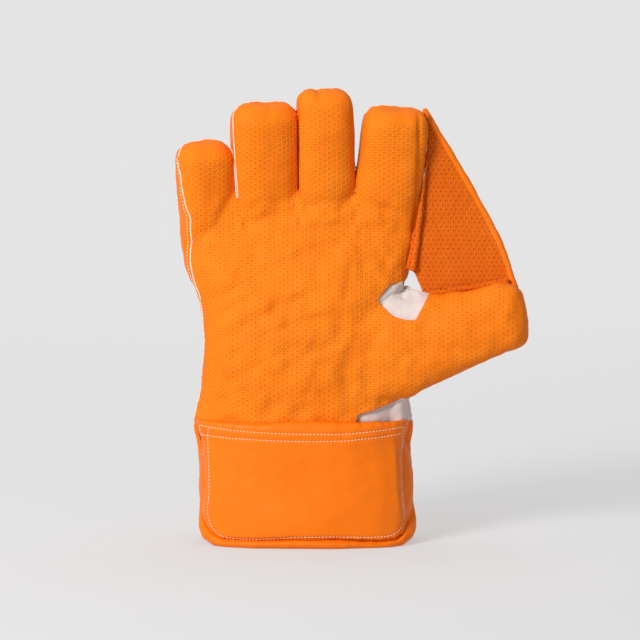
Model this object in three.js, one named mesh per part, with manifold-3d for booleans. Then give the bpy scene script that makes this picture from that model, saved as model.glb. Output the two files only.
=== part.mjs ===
// Wicketkeeping glove for the right hand, standing on its cuff, palm towards -Y, thumb towards +X.
// Millimetres, +Z up. The hand is a hollow leather shell of lofted limbs, parted along its seams.

import * as THREE from 'three';
import { LoftGeometry } from 'three/addons/geometries/LoftGeometry.js';
import { mergeVertices } from 'three/addons/utils/BufferGeometryUtils.js';
import Module from 'manifold-3d';

const wasm = await Module();
wasm.setup();

// Clearances and leather
const gap = 0.3;
const wall = 2.4;
const gussetWall = 1.3;
const gussetMargin = 5;
const weltThickness = 1.2;
const weltProud = 0.5;
const fingerGap = 1.3;
const knuckleRise = 5;
const thumbRise = 6;

// Cuff
const cuffHeight = 74;
const cuffHalfWidth = 60;
const cuffHalfDepth = 31;
const cuffPower = 2.5;
const panelThickness = 3.6;
const panelCrown = 2;
const cuffWaist = 0.6;
const wristFlare = 0.035;
const hemFlare = 0.062;
const rollRadius = 4.3;
const rollSwell = 0.9;
const rollFlat = 0.6;
const hemCorner = 26;
const hemCornerRise = 17;
const hemShift = 3.2;
const bandHeight = 6.4;
const bandThickness = 1.3;

// Palm
const palmLength = 140;
const palmWidth = 124;
const palmDepth = 68;
const palmPower = 2.7;

// Digits. A row holds where a finger leaves the palm and how wide it is, as shares of palmWidth, its length
// as a share of fingerLength, how far it leans, tips forward and twists, in degrees, and how much of its
// width its tip rounds off.
const fingerLength = 106;
const fingerDepth = 31;
const fingerRoot = { up: 0.7286, deep: -0.044 };
const digits = {
  little: { x: -0.465, long: 0.689, wide: 0.277, lean: -2, pitch: 13.8, twist: 15, round: 0.36 },
  ring: { x: -0.1855, long: 0.915, wide: 0.3266, lean: 0, pitch: 13.8, twist: 11, round: 0.222 },
  middle: { x: 0.1065, long: 1, wide: 0.2855, lean: 0, pitch: 13.8, twist: 6, round: 0.254 },
  index: { x: 0.3885, long: 0.896, wide: 0.3246, lean: 5.4, pitch: 13.8, twist: 7, round: 0.22 },
};
const digitPower = 2.8;
const tipHeight = 12;
const tipRoundThrough = 11.5;
const thumbLength = 105.6;
const thumbWidth = 40;
const thumbDepth = 33;
const thumbTipHeight = 14;
// The thumb leaves the palm at shares of palmWidth, palmDepth and palmLength
const thumbRoot = { x: 0.266, deep: -0.235, up: 0.302 };
const thumbAim = { lean: 82, pitch: 6, twist: 0 };
const thumbRound = 0.225;

// Web between index finger and thumb
const webThickness = 2.4;
const webBow = 5;
const bindingRadius = 2;
const flangeRadius = 2.1;
const tubeSteps = 2;
const tubeSides = 8;
// Its low inner corner is at shares of palmWidth and palmDepth, and above the thumb's root by a share of
// thumbWidth. It is as wide as a share of the thumb's length and as high as a share of fingerLength.
const webPlace = { x: 0.516, deep: -0.3015, rise: 1.018, wide: 0.625, high: 1.0189 };

// Rows of the palm, from wrist to finger roots. Heights are shares of palmLength, left and right of
// palmWidth, front and back of palmDepth. A seam is a share of the row's half depth, before its middle.
const palmRows = [
  { up: 0.0, left: -0.544, right: 0.532, front: -0.5, back: 0.5, seamLeft: -0.1, seamRight: -0.1 },
  { up: 0.07, left: -0.532, right: 0.532, front: -0.507, back: 0.456, seamLeft: -0.1, seamRight: -0.1 },
  { up: 0.155, left: -0.51, right: 0.51, front: -0.53, back: 0.41, seamLeft: -0.1, seamRight: -0.1 },
  { up: 0.25, left: -0.498, right: 0.5, front: -0.553, back: 0.368, seamLeft: -0.1, seamRight: -0.1 },
  { up: 0.36, left: -0.492, right: 0.5, front: -0.56, back: 0.324, seamLeft: -0.12, seamRight: -0.1 },
  { up: 0.47, left: -0.5, right: 0.5, front: -0.545, back: 0.294, seamLeft: -0.25, seamRight: -0.1 },
  { up: 0.555, left: -0.52, right: 0.5, front: -0.53, back: 0.272, seamLeft: -0.43, seamRight: -0.2 },
  { up: 0.64, left: -0.565, right: 0.515, front: -0.493, back: 0.235, seamLeft: -0.56, seamRight: -0.35 },
  { up: 0.755, left: -0.597, right: 0.553, front: -0.426, back: 0.19, seamLeft: -0.62, seamRight: -0.5 },
  { up: 0.9, left: -0.61, right: 0.577, front: -0.37, back: 0.125, seamLeft: -0.66, seamRight: -0.55 },
  { up: 0.99, left: -0.605, right: 0.575, front: -0.34, back: 0.07, seamLeft: -0.68, seamRight: -0.55 },
  { up: 1.03, left: -0.59, right: 0.55, front: -0.27, back: -0.02, seamLeft: -0.68, seamRight: -0.55 },
];

// Rows of a digit before its rounded tip: shares of its straight length, of its width and of its depth. A
// row's middle is shifted to the right by a share of the width.
const fingerRows = [
  { up: 0.0, shift: 0, wide: 0.84, deep: 0.78, seamLeft: -0.72, seamRight: -0.6 },
  { up: 0.35, shift: 0, wide: 1.0, deep: 0.97, seamLeft: -0.72, seamRight: -0.6 },
  { up: 0.65, shift: 0, wide: 1.0, deep: 1.0, seamLeft: -0.7, seamRight: -0.6 },
  { up: 1.0, shift: 0, wide: 0.99, deep: 0.98, seamLeft: -0.6, seamRight: -0.5 },
];
const fingerTipSeam = 0.15;

// The thumb swells towards its root; its left side is the upper one
const thumbRows = [
  { up: 0.0, shift: 0.0, wide: 1.52, deep: 1.1, seamLeft: -0.35, seamRight: -0.1 },
  { up: 0.32, shift: -0.075, wide: 1.59, deep: 1.12, seamLeft: -0.35, seamRight: -0.1 },
  { up: 0.46, shift: -0.115, wide: 1.44, deep: 1.06, seamLeft: -0.35, seamRight: -0.1 },
  { up: 0.66, shift: -0.165, wide: 1.235, deep: 1.0, seamLeft: -0.35, seamRight: -0.1 },
  { up: 0.88, shift: -0.248, wide: 1.1, deep: 0.98, seamLeft: -0.3, seamRight: -0.1 },
  { up: 1.0, shift: -0.295, wide: 1.07, deep: 0.96, seamLeft: -0.2, seamRight: 0 },
];
const thumbTipSeam = 0.15;

// Openings in the facing, as shares of palmWidth across and of palmLength above the wrist
const crotchHole = [
  [0.353, 0.557], [0.362, 0.542], [0.437, 0.48], [0.5, 0.463], [0.556, 0.463],
  [0.625, 0.578], [0.598, 0.6], [0.54, 0.68], [0.49, 0.634], [0.42, 0.63],
];
const notchReach = 0.12;
const wristNotch = [[0.225, -0.06], [0.262, 0.064], [0.5, 0.127], [0.62, 0.15], [0.62, -0.06]];

// The web's outline and the lines of its flanges: across and height as shares of the web's width and height
const webOutline = [
  [0.0, 1.0], [0.14, 1.02], [0.36, 0.8], [0.575, 0.575], [0.775, 0.35], [0.93, 0.13], [1.0, 0.01],
  [0.7, -0.1], [0.2, -0.1], [0.17, -0.02], [0.05, 0.12], [-0.03, 0.13],
];
const indexLine = [[0.165, 0.985], [0.135, 0.6], [0.085, 0.3], [0.04, 0.12]];
const thumbLine = [[0.2, 0.012], [0.42, 0.03], [0.65, 0.05], [0.93, 0.075]];

const leather = { color: 0xf07a1e, roughness: 0.5, metalness: 0 };
const facingRubber = { color: 0xf08225, roughness: 0.72, metalness: 0 };
const whiteLeather = { color: 0xe9d9d0, roughness: 0.6, metalness: 0 };

const glove = new THREE.Group();
const parts = new THREE.Group();
glove.add(parts);

// Solids and meshes

function toSolid(geometry) {
  const bare = new THREE.BufferGeometry();
  bare.setAttribute('position', geometry.getAttribute('position'));
  bare.setIndex(geometry.getIndex());
  const merged = mergeVertices(bare, 1e-4);
  return new wasm.Manifold(new wasm.Mesh({
    numProp: 3,
    vertProperties: new Float32Array(merged.getAttribute('position').array),
    triVerts: new Uint32Array(merged.getIndex().array),
  }));
}

// Booleans leave crumbs: a solid's real pieces are its largest ones
function largestPieces(solid, count) {
  const pieces = solid.decompose();
  pieces.sort((one, other) => other.volume() - one.volume());
  return pieces.slice(0, count);
}

function addPiece(name, solid, look) {
  const mesh = largestPieces(solid, 1)[0].getMesh();
  const geometry = new THREE.BufferGeometry();
  geometry.setAttribute('position', new THREE.BufferAttribute(new Float32Array(mesh.vertProperties), 3));
  geometry.setIndex(new THREE.BufferAttribute(new Uint32Array(mesh.triVerts), 1));
  geometry.computeVertexNormals();
  const piece = new THREE.Mesh(geometry, new THREE.MeshStandardMaterial(look));
  piece.name = name;
  parts.add(piece);
  return piece;
}

function unite(solids) {
  return solids.reduce((whole, solid) => whole.add(solid));
}

// A limb is a row of rings along an axis. Each ring has a centre, half sizes and the seam's two ends.

const domeShares = [0.33, 0.66, 0.96];

function superRing(ring, frame, grow, power, steps) {
  const points = [];
  for (let step = 0; step < steps; step += 1) {
    const angle = (step + 0.5) * 2 * Math.PI / steps;
    const cos = Math.cos(angle);
    const sin = Math.sin(angle);
    const halfAcross = Math.max(ring.halfAcross + grow, gussetWall);
    const halfThrough = Math.max(ring.halfThrough + grow, gussetWall);
    const across = ring.across + halfAcross * Math.sign(cos) * Math.abs(cos) ** (2 / power);
    const through = ring.through + halfThrough * Math.sign(sin) * Math.abs(sin) ** (2 / power);
    points.push(place(frame, across, through, ring.along));
  }
  return points;
}

function place(frame, across, through, along) {
  return frame.origin.clone()
    .addScaledVector(frame.across, across)
    .addScaledVector(frame.through, through)
    .addScaledVector(frame.axis, along);
}

function limbFrame(origin, { lean, pitch, twist }) {
  const axis = new THREE.Vector3(0, 0, 1);
  const across = new THREE.Vector3(1, 0, 0);
  const through = new THREE.Vector3(0, 1, 0);
  const turn = new THREE.Quaternion();
  const spin = (about, degrees) => {
    turn.setFromAxisAngle(about.clone(), THREE.MathUtils.degToRad(degrees));
    [axis, across, through].forEach((direction) => direction.applyQuaternion(turn));
  };
  spin(new THREE.Vector3(0, 1, 0), lean);
  spin(across, pitch);
  spin(axis, twist);
  return { origin, axis, across, through };
}

// The palm is open at the wrist and roofed between the fingers: its hollow runs out below, not above
function palmRings(grow) {
  return palmRows.map((row, rowNumber) => {
    const front = row.front * palmDepth;
    const back = row.back * palmDepth;
    const roofed = rowNumber > palmRows.length - 3;
    const opened = rowNumber === 0 && grow < 0;
    return {
      along: row.up * palmLength + (roofed ? grow : 0) - (opened ? 2 * wall : 0),
      across: (row.left + row.right) * palmWidth / 2,
      halfAcross: (row.right - row.left) * palmWidth / 2,
      through: (front + back) / 2,
      halfThrough: (back - front) / 2,
      seamLeft: row.seamLeft,
      seamRight: row.seamRight,
    };
  });
}

function digitRings(size, rows, tipSeam, grow) {
  const straight = size.length - size.tip;
  const rings = rows.map((row) => ({
    along: row.up * straight,
    across: row.shift * size.width,
    halfAcross: row.wide * size.width / 2,
    through: 0,
    halfThrough: row.deep * size.depth / 2,
    seamLeft: row.seamLeft,
    seamRight: row.seamRight,
  }));
  const last = rings[rings.length - 1];
  for (const share of domeShares) {
    const angle = share * Math.PI / 2;
    rings.push({
      along: straight + (size.tip + grow) * Math.sin(angle),
      across: last.across,
      halfAcross: last.halfAcross - size.round * (1 - Math.cos(angle)),
      through: 0,
      halfThrough: last.halfThrough - tipRoundThrough * (1 - Math.cos(angle)),
      seamLeft: last.seamLeft + (tipSeam - last.seamLeft) * share,
      seamRight: last.seamRight + (tipSeam - last.seamRight) * share,
    });
  }
  return rings;
}

const palmLimb = {
  frame: limbFrame(new THREE.Vector3(0, 0, cuffHeight + gap), { lean: 0, pitch: 0, twist: 0 }),
  rings: palmRings,
  power: palmPower,
  steps: 18,
  innerSteps: 12,
};

function digitLimb(origin, aim, size, rows, tipSeam) {
  return {
    frame: limbFrame(origin, aim),
    size,
    aim,
    rings: (grow) => digitRings(size, rows, tipSeam, grow),
    power: digitPower,
    steps: 14,
    innerSteps: 8,
  };
}

const rootHeight = cuffHeight + fingerRoot.up * palmLength;
const rootDepth = fingerRoot.deep * palmDepth;
const fingerLimbs = Object.values(digits).map((digit) => digitLimb(
  new THREE.Vector3(digit.x * palmWidth, rootDepth, rootHeight),
  digit,
  {
    length: digit.long * fingerLength,
    width: digit.wide * palmWidth,
    depth: fingerDepth,
    tip: tipHeight,
    round: digit.round * digit.wide * palmWidth,
  },
  fingerRows,
  fingerTipSeam,
));
const thumbRootHeight = cuffHeight + thumbRoot.up * palmLength;
const thumbLimb = digitLimb(
  new THREE.Vector3(
    thumbRoot.x * palmWidth,
    thumbRoot.deep * palmDepth,
    thumbRootHeight,
  ),
  thumbAim,
  {
    length: thumbLength,
    width: thumbWidth,
    depth: thumbDepth,
    tip: thumbTipHeight,
    round: thumbRound * thumbWidth,
  },
  thumbRows,
  thumbTipSeam,
);
const limbs = [palmLimb, ...fingerLimbs, thumbLimb];

// Prisms through the hand, from an outline seen from the front

function prism(outline, front, back) {
  const shape = new THREE.Shape(outline);
  const geometry = new THREE.ExtrudeGeometry(shape, { depth: back - front, bevelEnabled: false });
  geometry.rotateX(Math.PI / 2);
  geometry.translate(0, back, 0);
  return toSolid(geometry);
}

function slab(left, low, right, high) {
  const corners = [[left, low], [right, low], [right, high], [left, high]];
  return prism(corners.map(([x, z]) => new THREE.Vector2(x, z)), -palmDepth, palmDepth);
}

function palmOutline(shares) {
  return shares.map(([across, up]) => new THREE.Vector2(
    across * palmWidth,
    cuffHeight + up * palmLength,
  ));
}

function grownOutline(outline, amount) {
  const centre = new THREE.Vector2();
  outline.forEach((point) => centre.addScaledVector(point, 1 / outline.length));
  return outline.map((point) => {
    const away = point.clone().sub(centre);
    return centre.clone().addScaledVector(away, 1 + amount / away.length());
  });
}

// A thin blade parts two neighbouring fingers down to the crotch. It lies between their two frames.

const crotchHeight = cuffHeight + 0.965 * palmLength;
const [little, ring, middle, index] = fingerLimbs;
const neighbours = [[little, ring], [ring, middle], [middle, index]];

function mean(one, other) {
  return (one + other) / 2;
}

function bladeFrame(one, other) {
  const oneSide = one.frame.origin.x + one.size.width / 2;
  const otherSide = other.frame.origin.x - other.size.width / 2;
  return limbFrame(new THREE.Vector3(mean(oneSide, otherSide), rootDepth, rootHeight), {
    lean: mean(one.aim.lean, other.aim.lean),
    pitch: mean(one.aim.pitch, other.aim.pitch),
    twist: mean(one.aim.twist, other.aim.twist),
  });
}

function blade(one, other, grow) {
  const frame = bladeFrame(one, other);
  const half = Math.max(fingerGap / 2 - grow, gap / 4);
  const low = (crotchHeight + grow - rootHeight) / frame.axis.z;
  const sections = [low, 2 * fingerLength].map((along) => [
    place(frame, -half, -palmDepth, along),
    place(frame, half, -palmDepth, along),
    place(frame, half, palmDepth, along),
    place(frame, -half, palmDepth, along),
  ]);
  return toSolid(new LoftGeometry(sections, { capStart: true, capEnd: true }));
}

function limbSolid(limb, grow) {
  const steps = grow < 0 ? limb.innerSteps : limb.steps;
  const sections = limb.rings(grow).map((ring) => superRing(ring, limb.frame, grow, limb.power, steps));
  return toSolid(new LoftGeometry(sections, { capStart: true, capEnd: true }));
}

function hand(grow) {
  const whole = unite(limbs.map((limb) => limbSolid(limb, grow)));
  return neighbours.reduce((solid, [one, other]) => solid.subtract(blade(one, other, grow)), whole);
}

// The seam round the facing. On each limb it is a share of the limb's half depth, from left to right.

function ringAt(rings, along) {
  const after = rings.findIndex((ring) => ring.along >= along);
  if (after === 0) return rings[0];
  if (after < 0) return rings[rings.length - 1];
  const [one, other] = [rings[after - 1], rings[after]];
  const share = (along - one.along) / (other.along - one.along);
  const mixed = {};
  for (const key of Object.keys(one)) mixed[key] = one[key] + (other[key] - one[key]) * share;
  return mixed;
}

// The depth of a limb's seam where it is seen at x and z
function limbSeam(limb, x, z) {
  const { origin, across, through, axis } = limb.frame;
  const rings = limb.rings(0);
  const area = across.x * axis.z - axis.x * across.z;
  let deep = 0;
  let wide = 0;
  let along = 0;
  for (let pass = 0; pass < 4; pass += 1) {
    const dx = x - origin.x - deep * through.x;
    const dz = z - origin.z - deep * through.z;
    wide = (dx * axis.z - axis.x * dz) / area;
    along = (across.x * dz - dx * across.z) / area;
    const ring = ringAt(rings, along);
    const spread = (wide - ring.across) / ring.halfAcross;
    const share = ring.seamLeft + (ring.seamRight - ring.seamLeft) * (spread + 1) / 2;
    deep = ring.through + share * ring.halfThrough;
  }
  return origin.y + wide * across.y + deep * through.y + along * axis.y;
}

// The curtain is a sheet across the whole hand, in rows up the hand, that follows every limb's seam. It steps
// from one finger's seam to the next in the gap between them.

const curtainReach = 20;
const curtainRows = [0.15, 0.35, 0.47, 0.56, 0.65, 0.76, 0.88];
const curtainFingerRows = [0.3, 0.55, 0.75, 0.9, 1];
const curtainThumbTop = 0.62;
const curtainThumbEdge = 0.4;
const rootRise = 6;

function seamCurtain(offset) {
  const low = cuffHeight - curtainReach;
  const high = rootHeight + middle.size.length + curtainReach;
  const left = little.frame.origin.x - little.size.width;
  const right = thumbLimb.frame.origin.x + thumbLength + curtainReach;
  const rootTop = crotchHeight + rootRise;
  const heights = [
    low,
    ...curtainRows.map((up) => cuffHeight + up * palmLength),
    crotchHeight - rootRise,
    rootTop,
    ...curtainFingerRows.map((share) => rootTop + (high - rootTop) * share),
  ];
  const step = fingerGap / 4;
  const drift = 1.5 * step;
  const sections = heights.map((z) => {
    const edges = neighbours.map(([one, other]) => {
      const frame = bladeFrame(one, other);
      return frame.origin.x + frame.axis.x * (z - frame.origin.z) / frame.axis.z - drift;
    });
    const palmSide = palmWidth / 2;
    const thumbSide = palmSide + thumbWidth * curtainThumbEdge;
    const knots = [left, ...edges.flatMap((x) => [x - step, x + step]), palmSide, thumbSide, right];
    const owner = (knot) => fingerLimbs[Math.min(Math.floor(knot / 2), fingerLimbs.length - 1)];
    const rooted = THREE.MathUtils.smoothstep(z, cuffHeight + 0.5 * palmLength, crotchHeight);
    const depths = knots.map((x, knot) => {
      const onPalm = limbSeam(palmLimb, x, Math.min(z, crotchHeight));
      const onThumb = z < cuffHeight + curtainThumbTop * palmLength && x >= thumbSide;
      if (onThumb) return limbSeam(thumbLimb, x, z);
      return onPalm + (limbSeam(owner(knot), x, z) - onPalm) * rooted;
    });
    if (z < rootTop) {
      edges.forEach((edge, edgeNumber) => {
        const knot = 2 * edgeNumber + 1;
        depths.fill(mean(depths[knot], depths[knot + 1]), knot, knot + 2);
      });
    }
    const points = knots.map((x, knot) => new THREE.Vector3(x, depths[knot] + offset, z));
    return [
      new THREE.Vector3(left, -2 * palmDepth, z),
      new THREE.Vector3(right, -2 * palmDepth, z),
      ...points.reverse(),
    ];
  });
  return toSolid(new LoftGeometry(sections, { capStart: true, capEnd: true }));
}

const outer = hand(0);
const shell = outer.subtract(hand(-wall));

const holeOutline = palmOutline(crotchHole);
const hole = prism(holeOutline, -palmDepth, 0);
const notchBack = notchReach * palmDepth;
const notchOutline = palmOutline(wristNotch);
const notch = prism(notchOutline, -palmDepth, notchBack);
const cutAway = hole.add(notch);

addPiece('palm_facing', shell.intersect(seamCurtain(0)).subtract(cutAway), facingRubber);
const weltShell = hand(weltProud).subtract(hand(-wall));
const weltSpace = seamCurtain(gap + weltThickness).subtract(seamCurtain(gap));
const [fingerWelt, thumbWelt] = largestPieces(weltShell.intersect(weltSpace).subtract(cutAway), 2);
addPiece('finger_welt', fingerWelt, whiteLeather);
addPiece('thumb_welt', thumbWelt, whiteLeather);

// The back of each finger and of the thumb is sewn to the back of the hand, across its root
const backShell = shell.subtract(seamCurtain(2 * gap + weltThickness)).subtract(cutAway);
const far = 2 * (palmLength + fingerLength);
const knuckleHeight = crotchHeight + knuckleRise;
const thumbEdge = palmWidth / 2 + thumbRise;
const webFoot = thumbRootHeight + webPlace.rise * thumbWidth;
const fingerSpace = slab(-far, knuckleHeight + gap, far, far);
const thumbSpace = slab(thumbEdge + gap, 0, far, webFoot);
const handSpace = slab(-far, 0, thumbEdge, knuckleHeight).add(slab(0, webFoot + gap, far, knuckleHeight));
const fingerBacks = largestPieces(backShell.intersect(fingerSpace), fingerLimbs.length);
fingerBacks.sort((one, other) => one.boundingBox().min[0] - other.boundingBox().min[0]);
Object.keys(digits).forEach((name, number) => addPiece(`${name}_finger_back`, fingerBacks[number], leather));
addPiece('thumb_back', backShell.intersect(thumbSpace), leather);
addPiece('hand_back', backShell.intersect(handSpace), leather);

// White gussets lie just inside the shell, above the cuff, and show through the openings
const aboveCuff = slab(-far, cuffHeight + gap, far, far);
const liningOuter = hand(-wall - gap);
const lining = liningOuter.subtract(hand(-wall - gap - gussetWall)).intersect(aboveCuff);
const holeBacking = prism(grownOutline(holeOutline, gussetMargin), -palmDepth, gussetMargin);
addPiece('thumb_gusset', lining.intersect(holeBacking), whiteLeather);
const notchBacking = prism(grownOutline(notchOutline, gussetMargin), -palmDepth, notchBack + gussetMargin);
addPiece('wrist_gusset', lining.intersect(notchBacking), whiteLeather);

// Web, its rolled seams and its binding

const bodyClear = hand(gap + weltProud);

const webWidth = webPlace.wide * thumbLength;
const webHeight = webPlace.high * fingerLength;

function webPoint([across, up], depth) {
  return new THREE.Vector3(
    webPlace.x * palmWidth + across * webWidth,
    webPlace.deep * palmDepth + webBow * Math.sin(Math.PI * THREE.MathUtils.clamp(up, 0, 1)) + depth,
    webFoot + up * webHeight,
  );
}

function webSheet() {
  const corners = webOutline.map((share) => webPoint(share, 0));
  const outline = corners.map((corner) => new THREE.Vector2(corner.x, corner.z));
  const past = 0.12;
  const rows = 5;
  const slabs = [];
  for (let row = 0; row < rows; row += 1) {
    const [low, high] = [row, row + 1].map((edge) => -past + edge * (1 + 2 * past) / rows);
    const sections = [-past, 1 + past].map((across) => [
      webPoint([across, low], -webThickness / 2),
      webPoint([across, low], webThickness / 2),
      webPoint([across, high], webThickness / 2),
      webPoint([across, high], -webThickness / 2),
    ]);
    slabs.push(toSolid(new LoftGeometry(sections, { capStart: true, capEnd: true })));
  }
  return unite(slabs).intersect(prism(outline, -palmDepth, palmDepth));
}

function tube(points, radius) {
  const path = new THREE.CatmullRomCurve3(points);
  const circle = new THREE.Shape();
  for (let side = 0; side < tubeSides; side += 1) {
    const angle = side * 2 * Math.PI / tubeSides;
    const x = radius * Math.cos(angle);
    const y = radius * Math.sin(angle);
    if (side === 0) circle.moveTo(x, y);
    else circle.lineTo(x, y);
  }
  circle.closePath();
  const steps = tubeSteps * points.length;
  return toSolid(new THREE.ExtrudeGeometry(circle, { steps, extrudePath: path }));
}

const bindingLine = webOutline.slice(1, 7).map((share) => webPoint(share, 0));
const binding = tube(bindingLine, bindingRadius);
const bindingClear = tube(bindingLine, bindingRadius + gap);
const flangeIn = webThickness / 2 + gap + flangeRadius;
const indexFlange = tube(indexLine.map((share) => webPoint(share, -flangeIn)), flangeRadius);
const thumbFlange = tube(thumbLine.map((share) => webPoint(share, -flangeIn)), flangeRadius);

addPiece('web_panel', webSheet().subtract(bodyClear).subtract(bindingClear), facingRubber);
addPiece('web_binding', binding.subtract(bodyClear), leather);
addPiece('web_flange_index', indexFlange.subtract(bodyClear).subtract(bindingClear), facingRubber);
addPiece('web_flange_thumb', thumbFlange.subtract(bodyClear).subtract(bindingClear), facingRubber);

// Cuff: two padded panels, each in a rolled edge that runs down one side, round the hem and up the other

const sideDepth = rollRadius + gap / 2;

function cuffLine() {
  const points = [];
  const count = 40;
  for (let step = 0; step <= count; step += 1) {
    const angle = -Math.PI / 2 + Math.PI * step / count;
    const sin = Math.sin(angle);
    const cos = Math.max(Math.cos(angle), 0);
    points.push(new THREE.Vector3(
      cuffHalfWidth * Math.sign(sin) * Math.abs(sin) ** (2 / cuffPower),
      sideDepth + (cuffHalfDepth - sideDepth) * cos ** (2 / cuffPower),
      0,
    ));
  }
  return new THREE.CatmullRomCurve3(points);
}

const girth = cuffLine();
const halfGirth = girth.getLength() / 2;

// The cuff is a little wider at the wrist and at the hem than at its waist
function flare(height) {
  const fromWaist = height / cuffHeight - cuffWaist;
  if (fromWaist > 0) return 1 + wristFlare * (fromWaist / (1 - cuffWaist)) ** 1.5;
  return 1 + hemFlare * (-fromWaist / cuffWaist) ** 1.4;
}

// The roll is thickest in the middle of the hem
function rollAt(along) {
  return rollRadius + rollSwell * (1 - (along / halfGirth) ** 2);
}

function cuffPoint(along, height, out, side) {
  const share = THREE.MathUtils.clamp((along + halfGirth) / (2 * halfGirth), 0, 1);
  const point = girth.getPointAt(share);
  const tangent = girth.getTangentAt(share);
  const wide = flare(height);
  const x = point.x * wide - tangent.y * out + hemShift * (1 - height / cuffHeight);
  const y = point.y * wide + tangent.x * out;
  return new THREE.Vector3(x, side * y, height);
}

// Where the middle of the roll runs, as a distance along the girth and a height
function rollLine() {
  const straightEnd = halfGirth - hemCorner;
  const low = rollRadius - rollFlat;
  const top = cuffHeight - gap;
  const half = [];
  for (let step = 0; step <= 5; step += 1) {
    const along = straightEnd * step / 5;
    half.push([along, rollAt(along) - rollFlat]);
  }
  for (let step = 1; step <= 5; step += 1) {
    const angle = step * Math.PI / 10;
    half.push([straightEnd + hemCorner * Math.sin(angle), low + hemCornerRise * (1 - Math.cos(angle))]);
  }
  for (let step = 1; step <= 4; step += 1) {
    half.push([halfGirth, low + hemCornerRise + (top - low - hemCornerRise) * step / 4]);
  }
  const mirrored = half.slice(1).reverse().map(([along, height]) => [-along, height]);
  return [...mirrored, ...half];
}

function cuffRoll(side) {
  const line = rollLine();
  const centres = line.map(([along, height]) => cuffPoint(along, height, 0, side));
  const sides = 8;
  const sections = centres.map((centre, number) => {
    const before = centres[Math.max(number - 1, 0)];
    const after = centres[Math.min(number + 1, centres.length - 1)];
    const tangent = after.clone().sub(before).normalize();
    const [along, height] = line[number];
    const out = cuffPoint(along, height, 1, side).sub(centre);
    out.addScaledVector(tangent, -out.dot(tangent)).normalize();
    const cross = tangent.clone().cross(out);
    const radius = rollAt(along);
    const ring = [];
    for (let step = 0; step < sides; step += 1) {
      const angle = (step + 0.5) * 2 * Math.PI / sides;
      ring.push(centre.clone()
        .addScaledVector(out, radius * Math.cos(angle))
        .addScaledVector(cross, radius * Math.sin(angle)));
    }
    return ring;
  });
  const roll = toSolid(new LoftGeometry(sections, { capStart: true, capEnd: true }));
  const keep = new THREE.BoxGeometry(4 * cuffHalfWidth, 4 * cuffHalfDepth, cuffHeight - gap);
  keep.translate(0, 0, (cuffHeight - gap) / 2);
  return roll.intersect(toSolid(keep));
}

function panelBottom(along, half) {
  const seat = 2 * rollAt(along) - rollFlat + gap;
  const reach = hemCorner - rollRadius;
  const past = Math.max(Math.abs(along) - (half - reach), 0) / reach;
  return seat + (hemCornerRise - rollRadius) * (1 - Math.sqrt(Math.max(1 - past * past, 0)));
}

// A strip of the cuff, in columns that stand closer together towards its rounded corners
function cuffStrip(side, half, low, high, rows, inner, outerAt) {
  const columns = 14;
  const sections = [];
  for (let column = 0; column <= columns; column += 1) {
    const along = half * Math.sin(Math.PI * (column / columns - 0.5));
    const bottom = low(along);
    const loop = [];
    for (let row = 0; row <= rows; row += 1) {
      const height = bottom + (high - bottom) * row / rows;
      loop.push(cuffPoint(along, height, outerAt(along, row / rows), side));
    }
    for (let row = rows; row >= 0; row -= 1) {
      const height = bottom + (high - bottom) * row / rows;
      loop.push(cuffPoint(along, height, inner, side));
    }
    sections.push(side < 0 ? loop.reverse() : loop);
  }
  return toSolid(new LoftGeometry(sections, { capStart: true, capEnd: true }));
}

const panelHalf = halfGirth - rollRadius - gap;
const panelTop = cuffHeight - gap;
const crown = (along, up) => panelCrown * (1 - (along / panelHalf) ** 4) * (1 - (2 * up - 1) ** 4);

for (const [name, side] of [['front', -1], ['back', 1]]) {
  const panel = cuffStrip(
    side,
    panelHalf,
    (along) => panelBottom(along, panelHalf),
    panelTop,
    4,
    -panelThickness / 2,
    (along, up) => panelThickness / 2 + crown(along, up),
  );
  const bandBack = panelThickness / 2 - bandThickness / 2;
  const bandPlace = (lift) => cuffStrip(
    side,
    panelHalf - gap + lift,
    () => panelTop - bandHeight - lift,
    panelTop + lift,
    2,
    bandBack - lift,
    () => bandBack + bandThickness + gap + lift,
  );
  addPiece(`cuff_${name}_panel`, panel.subtract(bandPlace(gap)), leather);
  addPiece(`cuff_${name}_band`, bandPlace(0), leather);
  addPiece(`cuff_${name}_roll`, cuffRoll(side), leather);
}

parts.updateMatrixWorld(true);
const box = new THREE.Box3().setFromObject(parts);
parts.position.set(-(box.min.x + box.max.x) / 2, -(box.min.y + box.max.y) / 2, -box.min.z);

export default glove;
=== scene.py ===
# Wicketkeeping glove for the right hand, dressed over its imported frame.
# Metres, +Z up, palm towards -Y, thumb towards +X. The glove stands on its cuff.

import math
from functools import partialmethod

import bmesh
import bpy
import numpy
from bpy.props import FloatProperty, FloatVectorProperty, PointerProperty
from mathutils import Matrix, Quaternion, Vector, noise
from mathutils.bvhtree import BVHTree


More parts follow.
